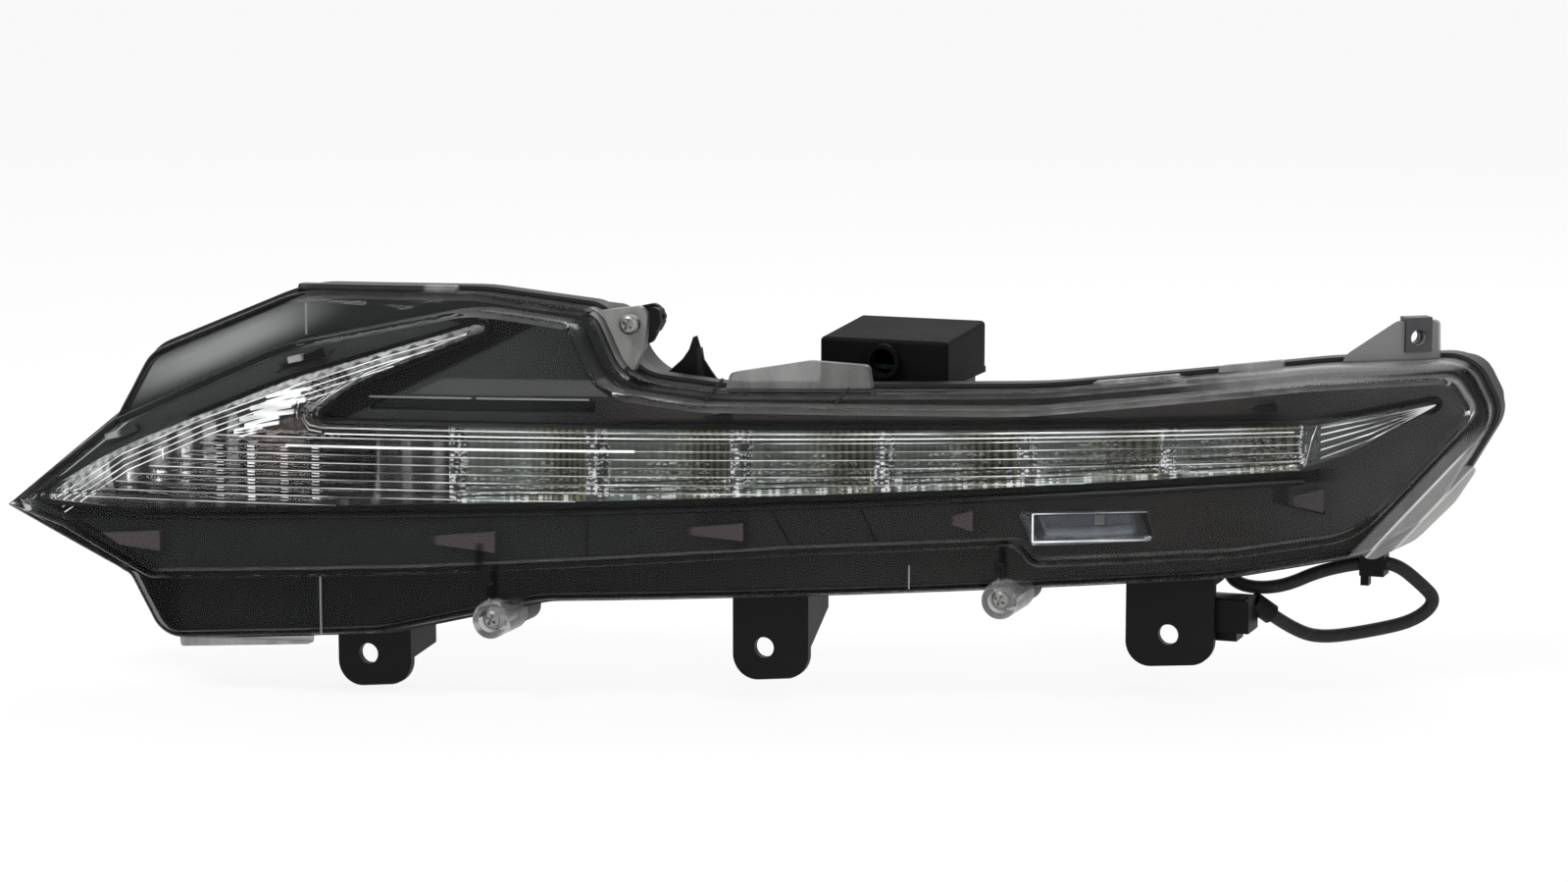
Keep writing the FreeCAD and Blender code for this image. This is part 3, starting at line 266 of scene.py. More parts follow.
# Edges that bound a finish, as a point and a unit direction (x, z): the plate's upper left edge,
# the arm's lower edge and the clear ledge at the right end
PLATE_EDGE = ((-0.254, 0.053), (0.915, 0.404))
ARM_EDGE = ((-0.143, 0.088), (0.892, 0.453))
LEDGE_EDGE = ((0.205, 0.043), (0.648, 0.762))

# Zones of the outer lens. A zone in one direction is (low, high, softness of the low end, of the high end).
# Its clear tabs are (left, right, lowest z), and the lips of its ledge (distance, rise in tone, softness).
CLEAR_TABS = [(-0.152, -0.096, 0.1316), (-0.050, -0.030, 0.1045), (-0.006, 0.045, 0.0978),
              (0.114, 0.144, 0.0985), (0.155, 0.177, 0.1020), (0.194, 0.226, 0.1052)]
TAB_SOFT = 0.0005
TAB_FACE_DEPTH = TAB_DEPTH - 0.0008
FOOT_TAB_X = -0.14
FOOT_TAB_Z = 0.0042
DARK_TAB_X = (-0.156, -0.107, 0.002, 0.001)
DARK_TAB_Z = 0.1312
PALE_TABS_X = (0.105, 0.185, 0.005, 0.005)
THIN_TAB_X = (-0.020, 0.060, 0.005, 0.005)
EAR_RIB_HALF = 0.0011
EAR_RIB_TOP_Z = 0.045
LEDGE_START = 0.0015
LEDGE_TOP_Z = 0.074
LEDGE_LIPS = [(0.0056, 0.30, 0.0006), (0.0110, 0.45, 0.0008)]
LEDGE_LIP_HALF = 0.0004
LEDGE_LIP_BACK = 0.0002
TOP_BAND_Z = 0.0855
TOP_BAND_SLOPE = 0.07
TOP_BAND_X = 0.165
TOP_BAND_DEPTH = 0.004
LEFT_CORNER = (-0.196, 0.045)
LEFT_CORNER_DEPTH = LOBE_STEP + 0.0005

# Zones of the turn bowl: its painted reflection columns and its painted glint at the bend
COLUMN_PITCH = 0.0112
COLUMN_TOP_Z = 0.080
COLUMN_LEFT_X = -0.200
SILVER_ARM_SLOPE = 0.46
SILVER_ARM_Z = 0.160
BEND_X = (-0.166, -0.142, 0.005, 0.006)
BEND_Z = (0.0815, 0.100, 0.003, 0.004)
TURN_STEP_PITCH = 0.0065

# Zones of the bezel. Its joints are (x, lean); its sheen is a painted sheen, and the band just over the bar a
# painted shadow
PLATE_BROWN_X = 0.03
LOBE_BROWN_X = 0.0
ARM_PLATE_X = -0.06
ARM_PLATE_Z = 0.070
SHEEN_OUT = (0.0175, 0.0265, 0.004, 0.003)
SHEEN_ALONG = (0.055, 0.125, 0.03, 0.02)
LOWER_LOBE_Z = 0.045
SILL_BAND = (-0.0052, -0.0002, 0.0006, 0.0003)
SILL_END_X = 0.194
LOW_HOOKS_TOP = -0.0075
UPPER_HOOKS_Z = 0.0868
HOOK_DEPTH = BEZEL_DEPTH - 0.0004
NOTCH_X = (-0.150, -0.030, 0.002, 0.006)
NOTCH_LOW_Z = 0.0865
NOTCH_SHADE = (-0.004, 0.0062, 0.001, 0.0008)
NOTCH_PANEL_START = 0.0085
NOTCH_PANEL_Z = (0.0965, 0.1022, 0.0003, 0.0004)
STRIP_X = (-0.038, 0.175, 0.012, 0.02)
BAR_SHADOW_X = (-0.036, 0.178, 0.012, 0.008)
BAR_SHADOW_Z = (0.0840, 0.0885, 0.0004, 0.0004)
RIGHT_END_X = 0.190
PLATE_JOINTS = [(-0.047, 0.02), (0.018, -0.55), (0.047, -0.45)]
PLATE_JOINT_Z = 0.05
PLATE_JOINT_HALF = 0.00035
PLATE_JOINT_TOP = -0.006

# Stretch of the bright lines with the most painted highlight
FLARE_X = (0.0890, 0.1060, 0.003, 0.006)

# Shared tones
BLACK = (0.001, 0.001, 0.001)
GLINT_WHITE = (0.96, 0.94, 0.95)
MOULD_PALE = 1.35
MOULD_DARK = 0.79
MOULD_DUST = 0.002
MOULD_GRAIN_DEPTH = 0.00003
COVER_IOR = 1.25


def place_camera():
    """Camera at the viewing angle, turned to the lamp's middle."""
    level = math.cos(CAMERA_ELEVATION)
    towards = Vector((math.sin(CAMERA_AZIMUTH) * level, -math.cos(CAMERA_AZIMUTH) * level,
                      math.sin(CAMERA_ELEVATION)))
    camera = bpy.data.objects.new("camera", bpy.data.cameras.new("camera"))
    camera.location = CAMERA_TARGET + towards * CAMERA_DISTANCE
    camera.rotation_euler = (-towards).to_track_quat("-Z", "Y").to_euler()
    camera.data.lens = CAMERA_LENS
    camera.data.clip_end = CAMERA_CLIP_END
    scene.collection.objects.link(camera)
    scene.camera = camera


class Shade:
    """A value in a material's nodes. An operator on it adds a Math node."""

    def __init__(self, tree, socket=None):
        self.tree = tree
        self.socket = socket

    def node(self, kind, settings=None, output=0, **sockets):
        """Adds a node, sets it, then fills its sockets. A socket is named, or _3 for its place."""
        made = self.tree.nodes.new(kind)
        for name, value in (settings or {}).items():
            setattr(made, name, value)
        for name, value in sockets.items():
            place = int(name[1:]) if name.startswith("_") else name.replace("_", " ")
            if isinstance(value, Shade):
                self.tree.links.new(value.socket, made.inputs[place])
            else:
                made.inputs[place].default_value = value
        return Shade(self.tree, made.outputs[output])

    def maths(self, operation, first, second=0.0):
        return self.node("ShaderNodeMath", {"operation": operation}, _0=first, _1=second)

    def __add__(self, other):
        return self.maths("ADD", self, other)

    __radd__ = __add__

    def __sub__(self, other):
        return self.maths("SUBTRACT", self, other)

    def __rsub__(self, other):
        return self.maths("SUBTRACT", other, self)

    def __mul__(self, other):
        return self.maths("MULTIPLY", self, other)

    __rmul__ = __mul__

    def __abs__(self):
        return self.maths("ABSOLUTE", self)

    def above(self, edge, soft):
        """0 below an edge and 1 above it, with a soft step between."""
        return self.node("ShaderNodeMapRange", {"interpolation_type": "SMOOTHSTEP"}, Value=self,
                         From_Min=edge - soft, From_Max=edge + soft)

    def below(self, edge, soft):
        """1 below an edge and 0 above it."""
        return 1 - self.above(edge, soft)

    def between(self, low, high, soft_low, soft_high):
        """1 between two edges and 0 outside them."""
        return self.above(low, soft_low) * self.below(high, soft_high)

    def capped(self, limit=1.0):
        """The value, or the limit where it is higher."""
        return self.maths("MINIMUM", self, limit)

    def wave(self, period):
        """Sine of a length, from 0 to 1."""
        return self.maths("SINE", self * (2 * math.pi / period)) * 0.5 + 0.5

    def mixed(self, low, high):
        """Colour that goes from one to another as this value goes from 0 to 1."""
        low, high = [c if isinstance(c, Shade) else (*c, 1) for c in (low, high)]
        return self.node("ShaderNodeMix", {"data_type": "RGBA"}, output=2, _0=self, _6=low, _7=high)


class Finish:
    """A material with its shader, and the places and patterns that its colours are made from."""

    def __init__(self, name, **sockets):
        self.material = bpy.data.materials.new(name)
        self.material.use_nodes = True
        self.shade = Shade(self.material.node_tree)
        self.shader = self.material.node_tree.nodes["Principled BSDF"]
        self.point = self.shade.node("ShaderNodeTexCoord", output=3)
        self.set(**sockets)

    def set(self, **sockets):
        """Fills the shader's sockets with values or links."""
        for name, value in sockets.items():
            socket = self.shader.inputs[name.replace("_", " ")]
            if isinstance(value, Shade):
                self.material.node_tree.links.new(value.socket, socket)
            elif socket.type == "RGBA":
                socket.default_value = (*value, 1)
            else:
                socket.default_value = value

    def axes(self):
        """X, Y and Z of the point."""
        return [self.shade.node("ShaderNodeSeparateXYZ", output=i, _0=self.point) for i in range(3)]

    def noise(self, scale, detail=3.0, stretch=(1, 1, 1)):
        """Soft random field, with lumps of about 1 / scale."""
        point = self.shade.node("ShaderNodeVectorMath", {"operation": "MULTIPLY"},
                                _0=self.point, _1=stretch)
        return self.shade.node("ShaderNodeTexNoise", Vector=point, Scale=scale, Detail=detail)

    def bump(self, height, distance):
        self.set(Normal=self.shade.node("ShaderNodeBump", Height=height, Distance=distance))

    def along_skin(self):
        """Angle about the skin's axis, from the -Y side towards +X."""
        x, y, z = self.axes()
        return self.shade.maths("ARCTAN2", x - SKIN_AXIS_X, SKIN_AXIS_Y - y)

    def depth(self):
        """Depth below the skin."""
        x, y, z = self.axes()
        side, back = x - SKIN_AXIS_X, y - SKIN_AXIS_Y
        return SKIN_RADIUS - self.shade.maths("SQRT", side * side + back * back)

    def beside(self, edge):
        """Distance from an edge, to the right of its direction as seen from the front."""
        (edge_x, edge_z), (run_x, run_z) = edge
        x, y, z = self.axes()
        return (x - edge_x) * run_z - (z - edge_z) * run_x

    def along(self, edge):
        """Distance along an edge from its point."""
        (edge_x, edge_z), (run_x, run_z) = edge
        x, y, z = self.axes()
        return (x - edge_x) * run_x + (z - edge_z) * run_z

    def over_bar_foot(self):
        """Height above the light bar's lower edge."""
        x, y, z = self.axes()
        return z - x * BAR_LOW_SLOPE - BAR_LOW_Z

    def mixed_with(self, share, **sockets):
        """Mixes in a second shader by a share."""
        tree = self.material.node_tree
        first = Shade(tree, self.shader.outputs[0])
        second = self.shade.node("ShaderNodeBsdfPrincipled", **sockets)
        both = self.shade.node("ShaderNodeMixShader", _0=share, _1=first, _2=second)
        tree.links.new(both.socket, tree.nodes["Material Output"].inputs["Surface"])


def moulded(name, colour, rough, grain=2200.0, gloss=0.14):
    """Black or grey plastic with a fine moulded grain, cloudy gloss and faint handling marks."""
    finish = Finish(name, Specular_IOR_Level=gloss)
    cloud = finish.noise(38.0, 4.0)
    marks = finish.noise(260.0, 6.0, (0.25, 1, 1))
    fine = finish.noise(grain, 2.0)
    pale = tuple(c * MOULD_PALE + MOULD_DUST for c in colour)
    dark = tuple(c * MOULD_DARK for c in colour)
    finish.set(Base_Color=(cloud * 0.7 + marks * 0.3).mixed(dark, pale),
               Roughness=cloud * 0.16 + (rough - 0.08) + marks * 0.06)
    finish.bump(fine, MOULD_GRAIN_DEPTH)
    return finish.material


def clear(name, colour, rough):
    """Clear plastic with faint mould lines in its gloss."""
    finish = Finish(name, Base_Color=colour, Transmission_Weight=1.0, IOR=COVER_IOR)
    haze = finish.noise(22.0, 3.0)
    finish.set(Roughness=haze * 0.02 + rough)
    return finish.material


def clear_shell():
    """Outer lens: a thin clear wall with a faint gloss, dark rims, frosted tabs, ears and ledge."""
    finish = Finish("clear lens", Transmission_Weight=1.0, IOR=1.09, Coat_IOR=1.5, Coat_Roughness=0.03)
    x, y, z = finish.axes()
    depth = finish.depth()
    haze = finish.noise(22.0, 3.0)
    frost = finish.noise(150.0, 4.0, (1, 1, 0.3))

    tabs = z.below(FOOT_TAB_Z, 0.0006) * x.below(FOOT_TAB_X, 0.003)
    for left, right, low in CLEAR_TABS:
        tabs = tabs + x.between(left, right, TAB_SOFT, TAB_SOFT) * z.above(low, TAB_SOFT)
    tabs = tabs * depth.above(TAB_FACE_DEPTH, 0.0004)
    ribs = 0
    for ear_x, ear_z in LENS_SCREWS:
        side, up = x - ear_x, z - ear_z
        away = finish.shade.maths("SQRT", side * side + up * up)
        tabs = tabs + away.below(EAR_FROST_RADIUS, 0.0004) * EAR_FROST_SHARE
        rib = abs(side).below(EAR_RIB_HALF, 0.0003) * z.below(EAR_RIB_TOP_Z, 0.001)
        ribs = ribs + rib * away.above(EAR_RIB_START, 0.0005)

    across = finish.beside(LEDGE_EDGE)
    ledge = across.above(LEDGE_START, 0.001) * z.below(LEDGE_TOP_Z, 0.008)
    over_band = z - x * TOP_BAND_SLOPE - TOP_BAND_Z
    band = over_band.above(0.0, 0.001) * x.above(TOP_BAND_X, 0.025) * depth.above(TOP_BAND_DEPTH, 0.001)
    corner_x, corner_z = LEFT_CORNER
    corner = depth.above(LEFT_CORNER_DEPTH, 0.0003) * x.below(corner_x, 0.004) * z.below(corner_z, 0.004)
    dark_tab = x.between(*DARK_TAB_X) * z.above(DARK_TAB_Z, 0.0004)
    rims = (depth.above(LOBE_WALL_DEPTH, 0.0006) + ribs + corner + dark_tab).capped()
    milky = (tabs + ledge).capped()
    finish.set(Base_Color=rims.mixed((0.93, 0.94, 0.94), (0.30, 0.30, 0.30)),
               Roughness=haze * 0.02 + milky * 0.15,
               Coat_Weight=haze * 0.04 + 0.03 + milky * 0.3)

    grey = (frost * 1.4 - 0.2).mixed((0.10, 0.10, 0.098), (0.42, 0.42, 0.41))
    pale = (frost * 2.2 - 0.6).mixed((0.06, 0.06, 0.06), (0.70, 0.70, 0.69))
    steps = frost * 0.25
    lips = 0
    for lip, rise, soft in LEDGE_LIPS:
        steps = steps + across.above(lip + LEDGE_LIP_BACK, soft) * rise
        lips = lips + abs(across - lip).below(LEDGE_LIP_HALF, 0.0002)
    terrace = lips.mixed(steps.mixed((0.07, 0.07, 0.07), (0.58, 0.58, 0.57)), (0.80, 0.80, 0.79))
    tint = ledge.mixed((x.between(*PALE_TABS_X) * 0.8).mixed(grey, pale), terrace)
    tint = band.mixed(tint, (0.20, 0.20, 0.20))
    tint = dark_tab.mixed(tint, (0.02, 0.02, 0.02))
    edge_on = finish.shade.node("ShaderNodeLayerWeight", output=1, Blend=0.5).above(0.80, 0.18)
    share = milky * (0.62 - x.between(*THIN_TAB_X) * 0.20) + band * 0.55 + edge_on * 0.28
    finish.mixed_with(share.capped(0.8), Base_Color=tint, Roughness=0.3)
    return finish.material


def bright_bowl():
    """Metallised cells: a smooth greenish white part, an olive part with upright flutes and painted glitter.
    """
    finish = Finish("bright cells")
    angle = finish.along_skin()
    cell = (angle - FIRST_CELL_ANGLE) * (1 / CELL_PITCH_ANGLE)
    share = finish.shade.maths("FRACT", cell)
    olive = share.above(CELL_OLIVE_START, 0.20)
    wall = share.below(CELL_WALL_END, 0.02) + share.above(CELL_WALL_START, 0.01)
    ends = cell.above(CELL_COUNT, 0.02) + cell.below(0.0, 0.02)
    inside = 1 - ends
    flutes = (angle * SKIN_RADIUS).wave(CELL_FLUTE_PITCH)
    cloud = finish.noise(90.0, 2.0, (1, 1, 0.3))
    cut = finish.shade.node("ShaderNodeTexVoronoi", Vector=finish.point, Scale=480.0)
    # The olive part is a painted reflection of the yellow LED phosphor; the wall's glitter is a painted
    # sparkle
    pale = (cloud * 0.7 + flutes * 0.25).mixed((0.13, 0.15, 0.135), (0.34, 0.38, 0.345))
    phosphor_reflection = flutes.above(0.45, 0.40).mixed((0.062, 0.064, 0.034), (0.25, 0.245, 0.14))
    glitter = cut.above(0.42, 0.10).mixed((0.80, 0.79, 0.80), (0.05, 0.05, 0.05))
    cells = wall.mixed(olive.mixed(pale, phosphor_reflection), glitter)
    # Painted highlights: diffuse white glints low in each cell and on its walls, where Metallic drops
    low = finish.over_bar_foot().below(CELL_GLINT_HEIGHT, 0.0012) * inside
    glints = (low * cut.below(0.40, 0.08) + wall * cut.below(0.25, 0.08) * inside).capped()
    colour = glints.mixed(ends.mixed(cells, (0.06, 0.06, 0.062)), GLINT_WHITE)
    finish.set(Base_Color=colour, Metallic=0.35 - glints * 0.3, Roughness=cloud * 0.15 + 0.22)
    finish.bump(flutes * olive * 0.5 + cut * wall, 0.0002)
    return finish.material


def bright_turn():
    """Metallised turn bowl: upright steps, silver arm, painted reflection columns, painted wavy glint at the
    bend.
    """
    finish = Finish("bright turn bowl")
    x, y, z = finish.axes()
    lumps = finish.noise(120.0, 3.0)
    waves = finish.noise(75.0, 2.0, (1, 1, 2.4))
    # Painted reflections: bright upright columns, and a rippled glint at the bend, diffuse where Metallic
    # drops
    reflection_columns = (x + lumps * 0.0015).wave(COLUMN_PITCH).above(0.80, 0.16)
    reflection_columns = reflection_columns * z.below(COLUMN_TOP_Z, 0.004) * x.above(COLUMN_LEFT_X, 0.012)
    arm = (z - x * SILVER_ARM_SLOPE).above(SILVER_ARM_Z, 0.006)
    dark = lumps.mixed((0.006, 0.0055, 0.0055), (0.060, 0.052, 0.055))
    pale = (waves * 1.8 - 0.4).mixed((0.16, 0.155, 0.16), (0.90, 0.88, 0.89))
    ripples = (waves * 20 + z * 900).wave(3.2).above(0.38, 0.3)
    glint = x.between(*BEND_X) * z.between(*BEND_Z) * ripples
    lit = (glint + reflection_columns * 0.16).capped()
    finish.set(Base_Color=lit.mixed(arm.mixed(dark, pale), GLINT_WHITE), Metallic=1 - lit * 0.85,
               Roughness=lumps * 0.12 + 0.10)
    finish.bump(x.wave(TURN_STEP_PITCH), 0.0008)
    return finish.material


def bright_corner():
    """Dull bluish tray of the corner lamp, with a painted highlight at its foot."""
    finish = Finish("bright corner tray", Metallic=1.0)
    x, y, z = finish.axes()
    lumps = finish.noise(90.0, 2.0)
    # Painted highlight: the tray is lighter at its foot
    foot = z.below(CORNER_FOOT_Z, 0.0012)
    tray = lumps.mixed((0.025, 0.027, 0.032), (0.095, 0.10, 0.115))
    finish.set(Base_Color=foot.mixed(tray, (0.22, 0.225, 0.24)), Roughness=lumps * 0.15 + 0.16)
    finish.bump(lumps, 0.0003)
    return finish.material


def bezel_grey():
    """Dark panel: matte plate, painted sheen on the upper lobe, black lower lobe, glossy sill, painted
    shadows.
    """
    finish = Finish("bezel grey", Specular_IOR_Level=0.10)
    x, y, z = finish.axes()
    depth = finish.depth()
    lobe = depth.above(BEZEL_LOBE_DEPTH, 0.001)
    front = 1 - lobe
    over_foot = finish.over_bar_foot()
    cloud = finish.noise(26.0, 4.0)
    drawn = finish.noise(420.0, 4.0, (0.06, 0.3, 1))
    blend = cloud * 0.6 + drawn * 0.4

    grey = blend.mixed((0.0045, 0.005, 0.005), (0.011, 0.012, 0.012))
    brown = blend.mixed((0.007, 0.006, 0.0056), (0.019, 0.0167, 0.0158))
    arm_grey = blend.mixed((0.014, 0.015, 0.015), (0.034, 0.036, 0.035))
    strip_brown = blend.mixed((0.012, 0.0105, 0.0100), (0.026, 0.0230, 0.0218))
    end_grey = blend.mixed((0.020, 0.0195, 0.0195), (0.044, 0.0430, 0.0430))
    strip = z.above(UPPER_HOOKS_Z, 0.0006) * x.between(*STRIP_X) * front
    plate = x.above(PLATE_BROWN_X, 0.12).mixed(grey, brown)
    plate = (x.below(ARM_PLATE_X, 0.03) * z.above(ARM_PLATE_Z, 0.010)).mixed(plate, arm_grey)
    plate = strip.mixed(plate, strip_brown)
    plate = x.above(RIGHT_END_X, 0.030).mixed(plate, end_grey)

    # Painted sheen: a lighter band on the upper lobe, along the plate's upper left edge
    out = 0 - finish.beside(PLATE_EDGE)
    sheen = out.between(*SHEEN_OUT) * finish.along(PLATE_EDGE).between(*SHEEN_ALONG)
    upper = (sheen * (cloud * 0.5 + 0.6)).mixed((0.012, 0.013, 0.013), (0.22, 0.225, 0.22))
    lower = blend.mixed(BLACK, (0.004, 0.004, 0.004))
    back = z.below(LOWER_LOBE_Z, 0.004).mixed(upper, lower)
    back = x.above(LOBE_BROWN_X, 0.08).mixed(back, brown)

    sill = over_foot.between(*SILL_BAND) * x.below(SILL_END_X, 0.006) * front
    raised = depth.below(HOOK_DEPTH, 0.0002)
    low_hooks = raised * over_foot.below(LOW_HOOKS_TOP, 0.0004)
    upper_hooks = raised * z.above(UPPER_HOOKS_Z, 0.0004)
    away = finish.beside(ARM_EDGE)
    notch = x.between(*NOTCH_X) * z.above(NOTCH_LOW_Z, 0.0006) * front
    notch_shade = notch * away.between(*NOTCH_SHADE)
    notch_panel = notch * away.above(NOTCH_PANEL_START, 0.0004) * z.between(*NOTCH_PANEL_Z)
    # Painted shadow: a black band just over the light bar
    bar_shadow = x.between(*BAR_SHADOW_X) * z.between(*BAR_SHADOW_Z) * front
    joints = 0
    for place, lean in PLATE_JOINTS:
        joints = joints + abs(x - place - (z - PLATE_JOINT_Z) * lean).below(PLATE_JOINT_HALF, 0.0002)
    joints = (joints * over_foot.below(PLATE_JOINT_TOP, 0.001) * front).capped()

    colour = notch_panel.mixed(lobe.mixed(plate, back), (0.052, 0.053, 0.052))
    colour = (sill + notch_shade + upper_hooks + bar_shadow).capped().mixed(colour, BLACK)
    colour = low_hooks.mixed(colour, (0.042, 0.034, 0.035))
    finish.set(Base_Color=joints.mixed(colour, BLACK),
               Roughness=cloud * 0.14 + 0.38 + drawn * 0.08 - sill * 0.26 - lobe * 0.06)
    finish.bump(drawn * 0.3 - joints * 20, 0.00002)
    return finish.material


def steel(name, colour, rough):
    """Plated steel with turning marks."""
    finish = Finish(name, Metallic=1.0)
    marks = finish.noise(900.0, 4.0, (1, 1, 0.2))
    dull = finish.noise(240.0, 3.0)
    finish.set(Base_Color=dull.mixed(tuple(c * 0.7 for c in colour), colour), Roughness=marks * 0.18 + rough)
    finish.bump(marks, 0.00004)
    return finish.material


def led_phosphor(name, dark, pale):
    """Phosphor over an LED chip."""
    finish = Finish(name, Coat_Weight=0.6)
    lumps = finish.noise(900.0, 2.0)
    finish.set(Base_Color=lumps.mixed(dark, pale), Roughness=lumps * 0.2 + 0.25)
    return finish.material


def circuit(name, colour, trace):
    """Solder mask over copper traces."""
    finish = Finish(name, Coat_Weight=0.3)
    x, y, z = finish.axes()
    traces = x.wave(0.0075).above(0.82, 0.03) + z.wave(0.0052).above(0.86, 0.03)
    finish.set(Base_Color=traces.mixed(colour, trace), Roughness=finish.noise(300.0) * 0.2 + 0.35)
    finish.bump(traces, 0.00008)
    return finish.material


def amber_glass():
    """Dull amber glass of the turn bulb."""
    finish = Finish("amber glass", Transmission_Weight=0.7, IOR=1.5)
    haze = finish.noise(200.0)
    finish.set(Base_Color=haze.mixed((0.24, 0.13, 0.10), (0.38, 0.22, 0.17)), Roughness=haze * 0.15 + 0.05)
    return finish.material


def wound_tape():
    """Cloth tape wound round the cable, on the cable's own UV map: U along it, V round it."""
    finish = Finish("wound tape", Specular_IOR_Level=0.25)
    place = finish.shade.node("ShaderNodeTexCoord", output=2)
    along = finish.shade.node("ShaderNodeSeparateXYZ", output=0, _0=place)
    around = finish.shade.node("ShaderNodeSeparateXYZ", output=1, _0=place)
    turns = finish.shade.maths("FRACT", along * (CABLE_LENGTH / TAPE_PITCH) + around)
    weave = finish.noise(1600.0, 2.0)
    edge = turns.above(0.9, 0.06)
    finish.set(Base_Color=(weave * 0.7 + edge * 0.3).mixed((0.008, 0.008, 0.009), (0.032, 0.032, 0.033)),
               Roughness=weave * 0.2 + 0.5)
    finish.bump(turns * 0.6 + weave * 0.4, 0.0004)
    return finish.material


def glint_line(lift=0.0):
    """Painted highlight on an edge of clear plastic, in stretches, more of it with a lift."""
    finish = Finish("painted edge highlight", Metallic=0.3 - 0.4 * lift)
    x, y, z = finish.axes()
    stretches = finish.noise(34.0, 3.0, (1, 1, 6))
    bright = stretches * 3.0 - 1.05 + lift + x.between(*FLARE_X) * 0.9
    finish.set(Base_Color=bright.mixed((0.10, 0.10, 0.10), (0.96, 0.95, 0.96)),
               Roughness=stretches * 0.2 + 0.15)
    return finish.material


def skin_y(x, depth):
    """Y of the skin at a depth."""
    return SKIN_AXIS_Y - math.sqrt((SKIN_RADIUS - depth) ** 2 - (x - SKIN_AXIS_X) ** 2)


def on_skin(x, z, depth, proud=0.0):
    """Place on the skin at a depth, or that much in front of it."""
    return Matrix.Translation((x, skin_y(x, depth) - proud, z))


def add_box(shape, place, *size):
    """Adds a box of a size, centred on a place."""
    bmesh.ops.create_cube(shape, size=1.0, matrix=place @ Matrix.Diagonal((*size, 1)))


def skin_sweep(shape, section, start, end, depth, steps=60):
    """Carries a closed section of (inwards, up) points along the skin, between two (x, z) places."""
    first, last = [math.asin((x - SKIN_AXIS_X) / (SKIN_RADIUS - depth)) for x in (start[0], end[0])]
    corners = []
    for inward, up in section:
        reach = SKIN_RADIUS - depth - inward
        x = SKIN_AXIS_X + reach * math.sin(first)
        y = SKIN_AXIS_Y - reach * math.cos(first)
        corners.append(shape.verts.new((x, y, start[1] + up)))
    face = shape.faces.new(corners)
    bmesh.ops.spin(shape, geom=[face, *face.edges, *face.verts], cent=(SKIN_AXIS_X, SKIN_AXIS_Y, 0),
                   axis=(0, 0, 1), dvec=(0, 0, (end[1] - start[1]) / steps), angle=last - first, steps=steps)


def skin_path(shape, section, places, depth, steps):
    """Carries a section along the skin from place to place."""
    for start, end in zip(places, places[1:]):
        skin_sweep(shape, section, start, end, depth, steps)


def square(side):
    half = side / 2
    return [(-half, -half), (half, -half), (half, half), (-half, half)]


def round_section(radius, sides=12):
    turns = [2 * math.pi * k / sides for k in range(sides)]
    return [(radius * math.cos(turn), radius * math.sin(turn)) for turn in turns]


def new_piece(name, shape, material):
    """Makes a piece from a bmesh and sets it on the lamp."""
    mesh = bpy.data.meshes.new(name)
    bmesh.ops.recalc_face_normals(shape, faces=shape.faces)
    shape.to_mesh(mesh)
    shape.free()
    piece = bpy.data.objects.new(name, mesh)
    scene.collection.objects.link(piece)
    mesh.materials.append(material)
    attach(piece, "root")
    return piece


def bar_lines(bright):
    """Painted highlight lines along the top of the light bar."""
    lines = bmesh.new()
    for drop, left, right, side in BAR_LINES:
        level = BAR_TOP_Z - drop
        skin_sweep(lines, square(side), (left, level), (right, level), BAR_LINE_DEPTH)
    new_piece("bar_bright_lines", lines, bright)


def bar_sill(black):
    """Round black sill under the light bar."""
    sill = bmesh.new()
    ends = [(x, BAR_LOW_Z + BAR_LOW_SLOPE * x - SILL_DROP) for x in (BAR_LEFT_X, BAR_RIGHT_X)]
    skin_path(sill, round_section(SILL_RADIUS), ends, BEZEL_DEPTH, 60)
    new_piece("bar_sill", sill, black)


def arm_steps(bright):
    """Painted highlights on the steps below the arm's upper edge. A stretch that goes past a step's last x
    ends there.
    """
    steps = bmesh.new()
    for inset, last in ARM_STEPS:
        shift_x, shift_z = [inset * share for share in ARM_INWARDS]
        for (x, z), (next_x, next_z) in zip(ARM_TOP, ARM_TOP[1:]):
            if next_x <= last + ARM_STEP_REACH:
                share = min(1.0, (last - x) / (next_x - x))
                end_x = x + (next_x - x) * share
                end_z = z + (next_z - z) * share
                skin_sweep(steps, square(ARM_STEP_SIDE), (x + shift_x, z + shift_z),
                           (end_x + shift_x, end_z + shift_z), ARM_STEP_DEPTH, 8)
    new_piece("arm_bright_steps", steps, bright)


def flute_glints(bright):
    """Painted highlight lines on the crests of the fluted lens, from the arm's steps to the bar's lower edge.
    """
    lines = bmesh.new()
    for k in range(FLUTE_COUNT):
        z = FLUTE_TOP_Z - FLUTE_PITCH * k
        left = FLUTE_LEFT_X - FLUTE_LEFT_SLOPE * (FLUTE_TOP_Z - z)
        right = min(BAR_RIGHT_X, (z - BAR_LOW_Z) / BAR_LOW_SLOPE - FLUTE_END_GAP)
        skin_sweep(lines, square(FLUTE_LINE), (left, z), (right, z), FLUTE_CREST_DEPTH)
    new_piece("flute_glints", lines, bright)


def flute_shades(dark):
    """Painted dark lines low in the fluted lens, where it shows the dark bezel, one set over each cell."""
    lines = bmesh.new()
    for cell in range(CELL_COUNT):
        ends = []
        for share in FLUTE_SHADE_SHARES:
            angle = FIRST_CELL_ANGLE + (cell + share) * CELL_PITCH_ANGLE
            ends.append(SKIN_AXIS_X + (SKIN_RADIUS - FLUTE_CREST_DEPTH) * math.sin(angle))
        for height in FLUTE_SHADE_HEIGHTS:
            left, right = [(x, BAR_LOW_Z + BAR_LOW_SLOPE * x + height) for x in ends]
            skin_sweep(lines, square(FLUTE_SHADE_SIDE), left, right, FLUTE_SHADE_DEPTH, 10)
    new_piece("flute_shades", lines, dark)


